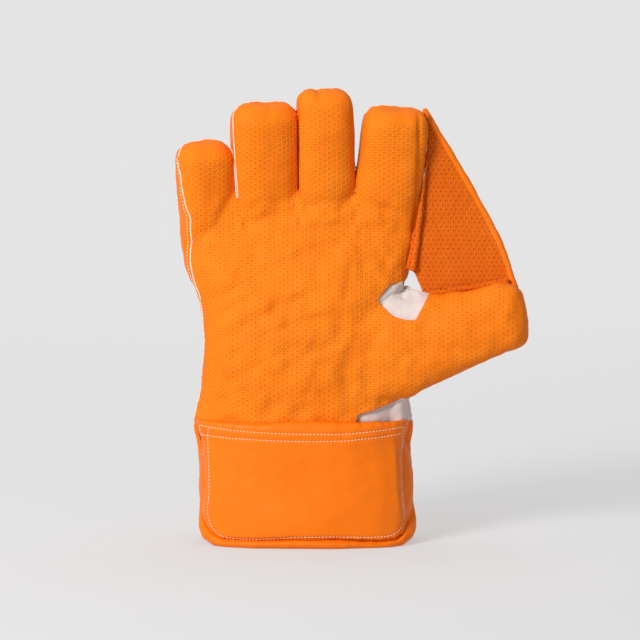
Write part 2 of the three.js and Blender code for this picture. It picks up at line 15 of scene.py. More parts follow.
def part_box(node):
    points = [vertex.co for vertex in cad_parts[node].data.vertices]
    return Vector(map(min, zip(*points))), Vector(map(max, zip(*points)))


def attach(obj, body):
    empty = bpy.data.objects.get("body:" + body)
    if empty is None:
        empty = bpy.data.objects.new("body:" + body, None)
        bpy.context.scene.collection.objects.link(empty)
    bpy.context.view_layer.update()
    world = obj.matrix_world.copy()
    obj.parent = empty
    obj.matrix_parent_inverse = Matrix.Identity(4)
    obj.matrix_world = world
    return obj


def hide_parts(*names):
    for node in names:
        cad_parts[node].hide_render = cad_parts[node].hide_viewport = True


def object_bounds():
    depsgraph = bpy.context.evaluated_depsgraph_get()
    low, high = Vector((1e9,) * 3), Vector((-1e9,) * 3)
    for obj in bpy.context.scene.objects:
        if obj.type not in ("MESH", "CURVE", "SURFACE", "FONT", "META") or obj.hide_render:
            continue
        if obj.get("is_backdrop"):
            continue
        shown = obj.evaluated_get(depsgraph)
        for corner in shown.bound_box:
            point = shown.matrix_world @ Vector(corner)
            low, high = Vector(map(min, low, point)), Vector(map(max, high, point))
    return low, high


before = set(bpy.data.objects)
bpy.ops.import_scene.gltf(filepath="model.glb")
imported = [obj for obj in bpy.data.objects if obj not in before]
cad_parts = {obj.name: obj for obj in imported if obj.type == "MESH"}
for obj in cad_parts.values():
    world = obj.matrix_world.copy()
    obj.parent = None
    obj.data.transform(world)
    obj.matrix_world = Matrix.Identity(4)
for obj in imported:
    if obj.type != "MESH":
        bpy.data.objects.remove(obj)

bl_info = {
    "name": "Wicketkeeping glove",
    "version": (1, 0, 0),
    "blender": (4, 5, 0),
    "location": "View3D > Sidebar > Glove",
    "description": "Dimpled facing, leather backs, catching web and rolled cuff of one glove",
    "category": "Object",
}

MM = 0.001
CAD_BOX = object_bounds()

# Where the glove's own axes stand in the frame, read from the cuff
band_low, band_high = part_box("cuff_back_band")
front_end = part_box("cuff_front_roll")[0].y
back_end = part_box("cuff_back_roll")[1].y
MIDDLE = Vector(((band_low.x + band_high.x) / 2, (front_end + back_end) / 2, 0))

# The photograph's own scale: one of its pixels, the column of the hand's middle, the row of the floor under
# the hem's front, its width, and the angle at which the camera looks down
PIXEL = 0.61 * MM
PHOTO_MIDDLE_COLUMN = 303.0
PHOTO_FLOOR_ROW = 549.0
PHOTO_SIZE = 640
CAMERA_RISE = math.radians(5)

# How deep the fronts of the hem, the palm and the cuff lie, and a ray's start in front of them all
HEM_FRONT = -36 * MM
PALM_FRONT = -28 * MM
CUFF_FRONT = -31 * MM
RAY_START = 0.3


def from_photo(column, row, depth=PALM_FRONT):
    """Across and up of what a pixel of the photograph shows, if it lies at that depth."""
    height = (PHOTO_FLOOR_ROW - row) * PIXEL - (depth - HEM_FRONT) * math.sin(CAMERA_RISE)
    return MIDDLE.x + (column - PHOTO_MIDDLE_COLUMN) * PIXEL, height / math.cos(CAMERA_RISE)


# The hand's sections. Palm rows run from wrist to finger roots: up, left, right, front and back, as shares of
# the palm's length, width and depth.
CUFF_HEIGHT = 74 * MM
CUFF_GAP = 0.3 * MM
PALM_LENGTH = 140 * MM
PALM_WIDTH = 124 * MM
PALM_DEPTH = 68 * MM
PALM_POWER = 2.7
PALM_ROWS = (
    (0.0, -0.544, 0.532, -0.5, 0.5),
    (0.07, -0.532, 0.532, -0.507, 0.456),
    (0.155, -0.51, 0.51, -0.53, 0.41),
    (0.25, -0.498, 0.5, -0.553, 0.368),
    (0.36, -0.492, 0.5, -0.56, 0.324),
    (0.47, -0.5, 0.5, -0.545, 0.294),
    (0.555, -0.52, 0.5, -0.53, 0.272),
    (0.64, -0.565, 0.515, -0.493, 0.235),
    (0.755, -0.597, 0.553, -0.426, 0.19),
    (0.9, -0.61, 0.577, -0.37, 0.125),
    (0.99, -0.605, 0.575, -0.34, 0.07),
    (1.03, -0.59, 0.55, -0.27, -0.02),
)

# Fingers: place and width as shares of the palm's width, length as a share of the longest, how much of the
# width the tip rounds off, and the turns lean, pitch and twist in degrees
FINGER_LENGTH = 106 * MM
FINGER_DEPTH = 31 * MM
FINGER_ROOT_UP = 0.7286
FINGER_ROOT_DEEP = -0.044
DIGIT_POWER = 2.8
TIP_HEIGHT = 12 * MM
TIP_ROUND_THROUGH = 11.5 * MM
CROTCH_UP = 0.965
FINGERS = {
    "little": (-0.465, 0.689, 0.277, 0.36, -2, 13.8, 15),
    "ring": (-0.1855, 0.915, 0.3266, 0.222, 0, 13.8, 11),
    "middle": (0.1065, 1.0, 0.2855, 0.254, 0, 13.8, 6),
    "index": (0.3885, 0.896, 0.3246, 0.22, 5.4, 13.8, 7),
}

# Rows of a digit: up its straight length, shift across, width and depth, as shares of its own sizes
FINGER_ROWS = ((0.0, 0, 0.84, 0.78), (0.35, 0, 1.0, 0.97), (0.65, 0, 1.0, 1.0), (1.0, 0, 0.99, 0.98))
THUMB_ROWS = (
    (0.0, 0.0, 1.52, 1.1),
    (0.32, -0.075, 1.59, 1.12),
    (0.46, -0.115, 1.44, 1.06),
    (0.66, -0.165, 1.235, 1.0),
    (0.88, -0.248, 1.1, 0.98),
    (1.0, -0.295, 1.07, 0.96),
)
THUMB_LENGTH = 105.6 * MM
THUMB_ROUND = 0.225
THUMB_WIDTH = 40 * MM
THUMB_DEPTH = 33 * MM
THUMB_TIP_HEIGHT = 14 * MM
THUMB_ROOT = (0.266, -0.235, 0.302)
THUMB_TURNS = (82, 6, 0)

# How far the facing wraps round each digit past the frame's seam, in millimetres: on its left side at the
# root and at the tip, on its right side the same, and over the tip
SEAM_REACH = {
    "little": (1.2, 1.8, 5.0, 6.0, 7.0),
    "ring": (1.4, 1.6, 3.5, 1.0, 7.0),
    "middle": (6.0, 7.0, 6.0, 7.0, 7.0),
    "index": (6.0, 7.5, 5.0, 5.0, 6.5),
    "thumb": (6.0, 7.0, 4.0, 4.0, 6.0),
}
WELT_HALF = 0.9 * MM

# Folds of the facing, along lines given by photograph pixels. Width and depth are in millimetres; a negative
# depth is a ridge.
FOLDS = (
    ("knuckle line", ((206, 234), (236, 231), (262, 221), (280, 217), (299, 210), (318, 206), (354, 200),
                      (388, 213), (412, 228)), 4.2, 1.3),
    ("palm edge", ((204, 247), (236, 243), (264, 233), (300, 221), (354, 213), (384, 226),
                   (402, 240)), 6, -0.9),
    ("long palm crease", ((206, 305), (240, 287), (275, 268), (318, 250), (352, 244)), 3.6, 0.9),
    ("second palm crease", ((214, 345), (250, 322), (292, 300), (330, 285), (352, 280)), 3.6, 0.85),
    ("third palm crease", ((222, 385), (262, 362), (300, 344)), 3.6, 0.7),
    ("upper crease", ((300, 232), (338, 226), (378, 236), (398, 252)), 3.2, 0.7),
    ("ball of thumb", ((369, 300), (362, 325), (354, 352), (349, 376), (348, 408)), 4.5, 1.1),
    ("inner ball", ((378, 322), (372, 345), (362, 372)), 5, 0.5),
    ("small crease", ((341, 384), (349, 381), (357, 383)), 2.2, 0.4),
    ("thumb valley", ((424, 322), (417, 340), (406, 356), (396, 366)), 6, 1.0),
    ("slant one", ((222, 262), (250, 250), (285, 238)), 2.6, 0.6),
    ("slant two", ((216, 322), (238, 303), (262, 290)), 2.6, 0.5),
    ("slant three", ((240, 352), (272, 330), (310, 318), (336, 312)), 2.6, 0.55),
    ("slant four", ((282, 372), (312, 352), (340, 342)), 2.8, 0.5),
    ("cross crease", ((352, 262), (344, 300), (338, 345)), 3.0, 0.5),
    ("thumb root", ((432, 318), (424, 352), (408, 384)), 3.6, 0.5),
    ("heel hollow", ((214, 404), (262, 408), (310, 409)), 6, 0.5),
    ("heel swell", ((232, 388), (270, 392), (322, 388)), 14, -0.9),
    ("thumb swell", ((440, 336), (470, 332), (495, 328)), 12, -0.7),
    ("index groove", ((418, 113), (419, 150), (418, 198), (414, 240), (409, 268)), 1.7, 1.7),
    ("ring middle", ((297, 202), (298, 212)), 3, 0.6),
    ("little ring", ((237, 190), (236, 222)), 3, 0.6),
)

# The back's sewn lines, seen through the glove from the front
BACK_FOLDS = (
    ("knuckle seam", ((150, 197), (490, 197)), 0.9, 0.9),
    ("thumb edge", ((414, 298), (414, 390)), 0.9, 0.9),
    ("first channel", ((240, 198), (246, 300)), 2.4, 1.5),
    ("middle channel", ((300, 198), (298, 310)), 2.4, 1.5),
    ("last channel", ((354, 198), (350, 300)), 2.4, 1.5),
)
KNUCKLE_ROW = 197
SIDE_STITCH_ROW = 158

# What is left of the gap between two closed fingers, the rows between which the index's gap opens, and how
# far under the crotch a gap's closing and its smooth foot begin and are complete
CLOSED_GAP = 0.24 * MM
INDEX_GAP_ROWS = (184, 160)
CLOSING_UNDER = (15 * MM, 8 * MM)
SMOOTH_UNDER = (22 * MM, 12 * MM)

# The unevenness of worn leather: waves with their length and height in millimetres, and on the hand the
# part that each goes into
HAND_WAVES = (
    (26.0, 1.2, "all"), (9.0, 0.4, "off gaps"), (3.4, 0.8, "by seam"), (14.0, 0.9, "back"),
    (5.0, 0.35, "back"), (11.0, 1.1, "palm"), (6.0, 0.55, "palm"),
)
THUMB_GUSSET_WAVES = ((9.0, 0.6, 1.0), (3.0, 0.2, 1.0))
WRIST_GUSSET_WAVES = ((7.0, 0.7, 1.0), (2.6, 0.25, 1.0))
WRIST_END_WAVES = ((9.0, 0.5, 1.0),)
WEB_WAVES = ((16.0, 0.8, 1.0), (4.0, 0.25, 1.0))
PANEL_WAVES = ((30.0, 1.4, 1.0), (8.0, 0.3, 1.0))
ROLL_WAVES = ((20.0, 0.8, 1.0), (6.0, 0.3, 1.0))

# Notches in the fingertips: which finger, how far from its middle line, width and depth in millimetres
NOTCHES = (
    ("middle", -4.2, 2.6, 1.5), ("ring", 1.5, 3.0, 0.5), ("little", 0, 3.0, 0.3), ("index", 3, 3.0, 0.35),
)

# Holes in the facing: how near to a leather the surface counts as covered, the field's value away from them,
# and the fold of the wrist's white leather
HOLE_MARGIN = 1.3 * MM
FAR_INSIDE = 10 * MM
GUSSET_FOLDS = (("lip", ((352, 421), (380, 420), (407, 417)), 0.8, 0.5),)

# The facing's lower edge over the wrist's white leather, and where that leather begins, starts to come out,
# is all out and ends at the top
WRIST_EDGE = ((356, 413), (405, 397.5))
WRIST_END = (346, 392, 402, 399)

# The soft lobe in the thumb's crotch, and the corners of the flap before it
LOBE = ((399, 284), (391, 289), (382, 295.5), (373, 302))
LOBE_RADIUS = 5.4 * MM
LOBE_DEEP = 6.8 * MM
FLAP_DEEP = 2 * MM
FLAP = (
    (379, 304), (390.5, 297.5), (405, 288.3), (413.8, 290.7), (434, 294.5), (424, 326), (404, 328),
    (386, 321), (370, 303),
)
WHITE_WALL = 1.4 * MM
FLAP_WALL = 1.8 * MM

# How far the web's foot comes down onto the thumb
WEB_TUCK = 3.4 * MM

# Where the cuff's panel ends in a deep groove and its roll begins
GROOVE = (
    (196, 400), (196, 425), (199, 436), (204.5, 460), (207.5, 487), (205.5, 503), (202, 517.5), (205, 528),
    (213, 537), (222.5, 541.3), (260, 541), (299, 539), (335, 540.5), (380, 544), (397, 542), (403.5, 537),
    (405.8, 525), (403.5, 507), (401, 489), (400, 454.5), (404, 439.5), (408, 424), (408, 400),
)

# Rows of stitches on the cuff, by pixels of the photograph
BAND_ROWS = (
    ((199, 427), (231, 429.5), (264, 431.5), (300, 432.5), (343, 433), (380, 430.5), (404, 428)),
    ((200, 436.5), (231, 437.8), (264, 439), (300, 440), (342, 439.8), (376, 437.6), (403, 435)),
    ((199, 427), (200, 436.5)),
    ((404, 428), (403, 435)),
)
PANEL_ROW = (
    (208.5, 429), (207.5, 440), (208.6, 470), (209, 495), (206.5, 515), (210, 527), (218, 536), (232, 539),
    (262, 538.5), (299, 535.5), (335, 535.5), (372, 537), (391, 536.5), (400.5, 531), (404.5, 519),
    (402.5, 500), (401.5, 480), (402, 455), (403.5, 436),
)

# The cuff in millimetres: how far a panel's top and a roll's top rise, how far a panel's foot drops, how far
# foot and top lean out, how far the top widens, how far a panel draws in at half height, and the heights
# between which each of these grows
PANEL_RISE, ROLL_RISE, FOOT_DROP = 3.6, 0.6, 4.6
FOOT_LEAN, TOP_LEAN, TOP_WIDER, WAIST = 1.8, 1.5, 1.2, 3.4
FOOT_HEIGHTS, TOP_HEIGHTS, WAIST_HEIGHTS, WAIST_FROM_MIDDLE = (34, 11), (58, 72), (8, 70), (30, 58)

# How hard and how long a pad is blown up
SWELLING_PRESSURE, SWELLING_FRAMES = 4, 20

# The cuff's groove in millimetres: a panel's bulge inside it, and how deep panel and roll fall back past it
PANEL_BULGE, GROOVE_DEEP = 1.6, 4.0
HEM_CLEARANCE = 0.05 * MM

# Stitches down the hand's sides, and the two rows across the knuckles
SEAM_STEP = 1.2 * MM
SIDE_STITCH_OFFSET = 2.8 * MM
STITCH_RISE = 0.15
KNUCKLE_ENDS = (150, 480)
KNUCKLE_SPACING = 2.6

FINGER_NAMES = tuple(FINGERS)
BACK_NODES = tuple(f"{name}_finger_back" for name in FINGER_NAMES) + ("thumb_back", "hand_back")


# Sizes and colours a user can change

def millimetres(name, about, default):
    return FloatProperty(name=name, description=about, default=default * MM, unit="LENGTH")


def colour(name, about, default):
    limits = {"size": 3, "min": 0, "max": 1}
    return FloatVectorProperty(name=name, description=about, default=default, subtype="COLOR", **limits)


class GloveSizes(bpy.types.PropertyGroup):
    hand_voxel: millimetres("Hand voxel", "Mesh size of the hand's surface", 0.95)
    fine_voxel: millimetres("Fine voxel", "Mesh size of the small pieces", 0.8)
    finger_gap: millimetres("Finger gap", "Space between two pressed fingers", 1.9)
    wall: millimetres("Wall", "Thickness of facing and leather", 2.4)
    welt_radius: millimetres("Welt radius", "Half the width of the white piping", 0.52)
    stitch_pitch: millimetres("Stitch pitch", "From one stitch to the next", 2.15)
    stitch_length: millimetres("Stitch length", "Thread showing between two holes", 1.5)
    stitch_radius: millimetres("Stitch radius", "Half the thread's thickness", 0.36)
    dimple_pitch: millimetres("Dimple pitch", "From one dimple of the palm to the next", 3.2)
    web_dimple_pitch: millimetres("Web dimple pitch", "From one dimple of the web to the next", 3.1)
    dimple_radius: millimetres("Dimple radius", "Raised ring round each pore", 1.2)
    pore_radius: millimetres("Pore radius", "Hole in the middle of each dimple", 0.46)
    pad_voxel: millimetres("Pad voxel", "Mesh size of a pad while it swells", 2.0)
    pad_rise: millimetres("Pad rise", "How far a padded panel may swell", 1.7)


class GloveColours(bpy.types.PropertyGroup):
    facing: colour("Facing", "Dimpled rubber", (0.84, 0.187, 0.006))
    # The web's colour is the facing's rubber darkened: painted shade of the web, which lies back between
    # index and thumb
    web: colour("Web", "Dimpled rubber of the catching web", (0.66, 0.112, 0.003))
    leather: colour("Leather", "Smooth back and cuff leather", (0.87, 0.171, 0.004))
    white: colour("White leather", "Gussets", (0.64, 0.565, 0.53))
    piping: colour("Piping", "Edging between facing and back", (0.76, 0.60, 0.45))
    thread: colour("Thread", "Stitches", (0.86, 0.58, 0.37))
    floor: colour("Floor", "Pale studio floor", (0.30, 0.30, 0.30))
    near_glow: colour("Near glow", "Studio light that the floor gives back in front", (0.405, 0.405, 0.405))
    far_glow: colour("Far glow", "Studio light that the backdrop gives back", (0.575, 0.575, 0.575))


def sizes():
    return bpy.context.scene.glove_sizes


def colours():
    return bpy.context.scene.glove_colours


# Shader maths: sockets that can be added, multiplied and compared

class Value:
    """A number socket of a material that can be used in sums."""

    def __init__(self, finish, socket):
        self.finish = finish
        self.socket = socket

    def sum_of(self, operation, *others):
        node = self.finish.node("ShaderNodeMath", {"operation": operation}, dict(enumerate((self, *others))))
        return Value(self.finish, node.outputs[0])

    __add__ = __radd__ = partialmethod(sum_of, "ADD")
    __sub__ = partialmethod(sum_of, "SUBTRACT")
    __mul__ = partialmethod(sum_of, "MULTIPLY")
    __truediv__ = partialmethod(sum_of, "DIVIDE")
    __pow__ = partialmethod(sum_of, "POWER")
    least = partialmethod(sum_of, "MINIMUM")
    most = partialmethod(sum_of, "MAXIMUM")
    whole = partialmethod(sum_of, "ROUND")

    def eased(self, low, high):
        """0 below low, 1 above high and smooth between; a low above high runs the other way."""
        spans = {"From Min": min(low, high), "From Max": max(low, high)}
        spans |= {"To Min": 0.0, "To Max": 1.0} if low < high else {"To Min": 1.0, "To Max": 0.0}
        settings = {"interpolation_type": "SMOOTHSTEP"}
        node = self.finish.node("ShaderNodeMapRange", settings, {"Value": self, **spans})
        return Value(self.finish, node.outputs[0])


class Finish:
    """One procedural material, with a method that adds any node."""

    def __init__(self, name):
        self.material = bpy.data.materials.new(name)
        self.material.use_nodes = True
        self.tree = self.material.node_tree
        self.tree.nodes.clear()

    def node(self, kind, settings=None, inputs=None):
        made = self.tree.nodes.new(kind)
        for key, setting in (settings or {}).items():
            setattr(made, key, setting)
        for key, given in (inputs or {}).items():
            socket = made.inputs[key]
            if isinstance(given, Value):
                self.tree.links.new(given.socket, socket)
            elif isinstance(given, bpy.types.NodeSocket):
                self.tree.links.new(given, socket)
            else:
                socket.default_value = given
        return made

    def place(self):
        return self.node("ShaderNodeTexCoord").outputs["Object"]

    def flat_place(self):
        return self.node("ShaderNodeUVMap", {"uv_map": "unrolled"}).outputs["UV"]

    def noise(self, place, scale, detail=2.0, roughness=0.5):
        inputs = {"Vector": place, "Scale": scale, "Detail": detail, "Roughness": roughness}
        return Value(self, self.node("ShaderNodeTexNoise", None, inputs).outputs["Fac"])

    def mixed(self, share, one, other):
        """A colour between two, by the Mix node's colour sockets, which share their names with others."""
        return self.node("ShaderNodeMix", {"data_type": "RGBA"}, {0: share, 6: one, 7: other}).outputs[2]

    def bump(self, height, distance, strength=1.0):
        inputs = {"Height": height, "Distance": distance, "Strength": strength}
        return self.node("ShaderNodeBump", None, inputs).outputs["Normal"]

    def shade(self, **inputs):
        keyed = {key.replace("_", " "): given for key, given in inputs.items()}
        shader = self.node("ShaderNodeBsdfPrincipled", None, keyed)
        self.node("ShaderNodeOutputMaterial", None, {"Surface": shader.outputs[0]})
        return self.material


def tinted(shade, factor):
    """A colour made lighter or darker, with its alpha."""
    return tuple(min(part * factor, 1.0) for part in shade) + (1.0,)


def wrapped(value, span):
    """The distance to the nearest whole number of spans."""
    return value - (value / span).whole() * span


def dimpled_rubber(name, shade, pitch, sideways, pore_shade_weight=1.0):
    """Rows of raised rings with pores on the unrolled map; painted highlight on the rings, painted shade in
    the pores.
    """
    finish = Finish(name)
    flat = finish.flat_place()
    drift = finish.node("ShaderNodeTexNoise", None, {"Vector": flat, "Scale": 60.0, "Detail": 1.0})
    spread = finish.node("ShaderNodeVectorMath", {"operation": "MULTIPLY_ADD"}, {
        0: drift.outputs["Color"], 1: (1.2 * MM, 1.2 * MM, 0.0), 2: flat,
    })
    parts = finish.node("ShaderNodeSeparateXYZ", None, {0: spread.outputs[0]})
    across, up = (Value(finish, parts.outputs[key]) for key in (("Y", "X") if sideways else ("X", "Y")))
    column = pitch * math.sqrt(3) / 2
    steps = []
    for shift in (0.0, 1.0):
        one = wrapped(across + shift * column, 2 * column)
        other = wrapped(up + shift * pitch / 2, pitch)
        steps.append(one * one + other * other)
    distance = steps[0].least(steps[1]) ** 0.5
    ring = distance.eased(sizes().dimple_radius * 1.25, sizes().dimple_radius * 0.65)
    pore = distance.eased(sizes().pore_radius * 1.4, sizes().pore_radius * 0.5)
    relief = Value(finish, finish.node("ShaderNodeAttribute", {"attribute_name": "relief"}).outputs["Fac"])
    place = finish.place()
    blotch = finish.noise(place, 34.0, 4.0, 0.55)
    patch = finish.noise(place, 110.0, 3.0, 0.6)
    grain = finish.noise(place, 1400.0, 2.0, 0.7)
    mottle = finish.noise(place, 620.0, 2.0, 0.6)
    strength = relief * (0.3 + finish.noise(place, 46.0, 2.0).eased(0.36, 0.6) * 0.7)
    red, green, blue = shade
    worn = tinted((red, green * 0.72, blue * 0.8), 0.86)
    stained = tinted((red, green * 0.74, blue), 0.88)
    # The rings' pale colour is painted highlight, and the pores' deep red is painted shade
    pale = tinted((red, green * 1.3, blue * 2.0), 1.04)
    pore_shade = tinted((red * 0.62, green * 0.36, blue * 0.5), 0.9)
    ground = finish.mixed(blotch, tinted(shade, 0.88), tinted(shade, 1.02))
    ground = finish.mixed((patch - 0.42) * 0.9, ground, worn)
    ground = finish.mixed(mottle.eased(0.45, 0.75) * 0.4, ground, stained)
    # Painted highlight on the raised rings, then painted shade in the pores
    lit = finish.mixed(ring * strength * (0.35 + blotch * 0.7), ground, pale)
    base = finish.mixed(pore * relief * ((0.25 + patch * 0.5 + strength * 0.3) * pore_shade_weight), lit, pore_shade)
    height = ring * strength * 0.8 - pore * relief + patch * 0.35 + grain * 0.14 + mottle * 0.3
    rough = 0.5 + blotch * 0.14 + grain * 0.08
    return finish.shade(
        Base_Color=base,
        Roughness=rough,
        Normal=finish.bump(height, 0.34 * MM, 0.85),
        Specular_IOR_Level=0.08,
    )


def smooth_leather(name, shade, rough=0.42, creasing=0.0):
    """Satin leather: fine cells, soft blotches and faint creases, creasing deep."""
    finish = Finish(name)
    place = finish.place()
    cells = finish.node("ShaderNodeTexVoronoi", {"feature": "F1"}, {"Vector": place, "Scale": 900.0})
    cell = Value(finish, cells.outputs["Distance"])
    blotch = finish.noise(place, 30.0, 4.0, 0.55)
    fine = finish.noise(place, 520.0, 3.0, 0.6)
    crease = finish.noise(place, 85.0, 2.0, 0.5)
    base = finish.mixed(blotch, tinted(shade, 0.86), tinted(shade, 1.06))
    base = finish.mixed((fine - 0.35) * 0.5, base, tinted(shade, 0.74))
    normal = finish.bump(cell * 0.7 + fine * 0.5, 0.09 * MM, 0.8)
    if creasing:
        normal = finish.node("ShaderNodeBump", None, {
            "Height": crease, "Distance": creasing, "Strength": 0.6, "Normal": normal,
        }).outputs["Normal"]
    return finish.shade(
        Base_Color=base,
        Roughness=(rough - 0.06) + blotch * 0.12 + cell * 0.05,
        Normal=normal,
        Specular_IOR_Level=0.13,
    )


def soft_white_leather(name, shade, wear=0.9):
    """Undyed leather: matt, a little pink and finely wrinkled."""
    finish = Finish(name)
    place = finish.place()
    blotch = finish.noise(place, 60.0, 4.0, 0.6)
    wrinkle = finish.noise(place, 340.0, 4.0, 0.62)
    crease = finish.noise(place, 130.0, 2.0, 0.5)
    worn = tinted((shade[0], shade[1] * 0.93, shade[2] * 0.93), wear)
    base = finish.mixed(blotch, worn, tinted(shade, 1.08))
    return finish.shade(
        Base_Color=base,
        Roughness=0.62 + wrinkle * 0.16,
        Normal=finish.bump(wrinkle * 0.5 + crease, 0.6 * MM, 0.6),
        Specular_IOR_Level=0.25,
    )


def twisted_thread(name):
    """Waxed thread with a fine twist."""
    finish = Finish(name)
    place = finish.place()
    scaled = {"Vector": place, "Scale": 900.0}
    twist = finish.node("ShaderNodeTexWave", {"bands_direction": "DIAGONAL"}, scaled)
    fuzz = finish.noise(place, 700.0)
    shade = colours().thread
    base = finish.mixed(fuzz, tinted(shade, 0.82), tinted(shade, 1.12))
    normal = finish.bump(Value(finish, twist.outputs["Fac"]), 0.08 * MM, 0.6)
    return finish.shade(Base_Color=base, Roughness=0.6 + fuzz * 0.1, Normal=normal)


# Meshes

def mesh_of(bm, name):
    """A mesh made from a bmesh, which is freed."""
    mesh = bpy.data.meshes.new(name)
    bm.to_mesh(mesh)
    bm.free()
    return mesh


def placed(name, data):
    """A new object in the scene."""
    made = bpy.data.objects.new(name, data)
    bpy.context.scene.collection.objects.link(made)
    return made


def coated(mesh, material):
    """Gives a mesh its material and smooth shading."""
    mesh.materials.append(material)
    mesh.polygons.foreach_set("use_smooth", [True] * len(mesh.polygons))


def finish_piece(bm, name, material, replaced=()):
    """Turns a bmesh into a piece of the glove that stands for its nodes."""
    piece = placed(name, mesh_of(bm, name))
    coated(piece.data, material)
    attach(piece, "root")
    if replaced:
        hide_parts(*replaced)
    return piece


def with_modifiers(bm, *modifiers):
    """A new bmesh with modifiers applied to the old one."""
    helper = placed("working", mesh_of(bm, "working"))
    for kind, settings in modifiers:
        modifier = helper.modifiers.new(kind, kind)
        for key, setting in settings.items():
            setattr(modifier, key, setting)
    evaluated = helper.evaluated_get(bpy.context.evaluated_depsgraph_get())
    made = bmesh.new()
    made.from_mesh(evaluated.to_mesh())
    evaluated.to_mesh_clear()
    bpy.data.meshes.remove(helper.data)
    return made


def remeshed(bm, voxel, smoothing):
    return with_modifiers(
        bm,
        ("REMESH", {"mode": "VOXEL", "voxel_size": voxel}),
        ("SMOOTH", {"factor": 0.5, "iterations": smoothing}),
    )


def add_to(bm, part):
    """Adds one bmesh to another and frees it."""
    mesh = mesh_of(part, "part")
    bm.from_mesh(mesh)
    bpy.data.meshes.remove(mesh)


def node_copy(*nodes):
    """The merged mesh of one or more of the frame's nodes."""
    bm = bmesh.new()
    for node in nodes:
        bm.from_mesh(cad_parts[node].data)
    bmesh.ops.remove_doubles(bm, verts=bm.verts, dist=1e-6)
    return bm


def tree_of(bm):
    bm.faces.ensure_lookup_table()
    return BVHTree.FromBMesh(bm)


def node_tree(*nodes):
    bm = node_copy(*nodes)
    tree = tree_of(bm)
    bm.free()
    return tree


def places_of(bm):
    return numpy.array([vertex.co[:] for vertex in bm.verts])


def distances(tree, points):
    return numpy.array([tree.find_nearest(Vector(point))[3] for point in points])


def run_lengths(line):
    """How far along a line each of its points lies."""
    return numpy.concatenate(([0], numpy.cumsum(numpy.linalg.norm(numpy.diff(line, axis=0), axis=1))))


def along_line(at, line):
    """The place, or places, at a distance along a line."""
    lengths = run_lengths(line)
    return numpy.stack([numpy.interp(at, lengths, column) for column in line.T], axis=-1)


def seen_from(tree, across, height, towards=-1):
    """The place on a surface that is seen at a point from the front, or from the back with 1, or None."""
    start = Vector((across, RAY_START * towards, height))
    return tree.ray_cast(start, Vector((0, -towards, 0)))[0]


def smoothstep(values, low, high):
    """0 at low, 1 at high and smooth between; a low above high runs the other way."""
    share = numpy.clip((values - low) / (high - low), 0, 1)
    return share * share * (3 - 2 * share)


def within(outline, points, depth):
    """How far inside an outline of photograph pixels each point is seen; less than 0 outside it."""
    corners = numpy.array([from_photo(*corner, depth) for corner in outline])
    seen = points[:, (0, 2)]
    nearest = numpy.full(len(points), 1e9)
    inside = numpy.zeros(len(points), bool)
    for begin, end in zip(corners, numpy.roll(corners, -1, axis=0)):
        run = end - begin
        share = numpy.clip(((seen - begin) @ run) / (run @ run), 0, 1)
        nearest = numpy.minimum(nearest, numpy.linalg.norm(seen - begin - share[:, None] * run, axis=1))
        if run[1]:
            crossed = (begin[1] > seen[:, 1]) != (end[1] > seen[:, 1])
            inside ^= crossed & (seen[:, 0] < begin[0] + run[0] * (seen[:, 1] - begin[1]) / run[1])
    return numpy.where(inside, nearest, -nearest)


# Limbs of the hand

def hermite(at, knots, values):
    """A smooth curve through the values at the knots."""
    knots, values = numpy.asarray(knots, float), numpy.asarray(values, float)
    slopes = numpy.gradient(values, knots)
    number = numpy.clip(numpy.searchsorted(knots, at) - 1, 0, len(knots) - 2)
    span = knots[number + 1] - knots[number]
    share = (at - knots[number]) / span
    one, other = values[number], values[number + 1]
    begin, end = slopes[number] * span, slopes[number + 1] * span
    square, cube = share ** 2, share ** 3
    return ((2 * cube - 3 * square + 1) * one + (cube - 2 * square + share) * begin
            + (3 * square - 2 * cube) * other + (cube - square) * end)


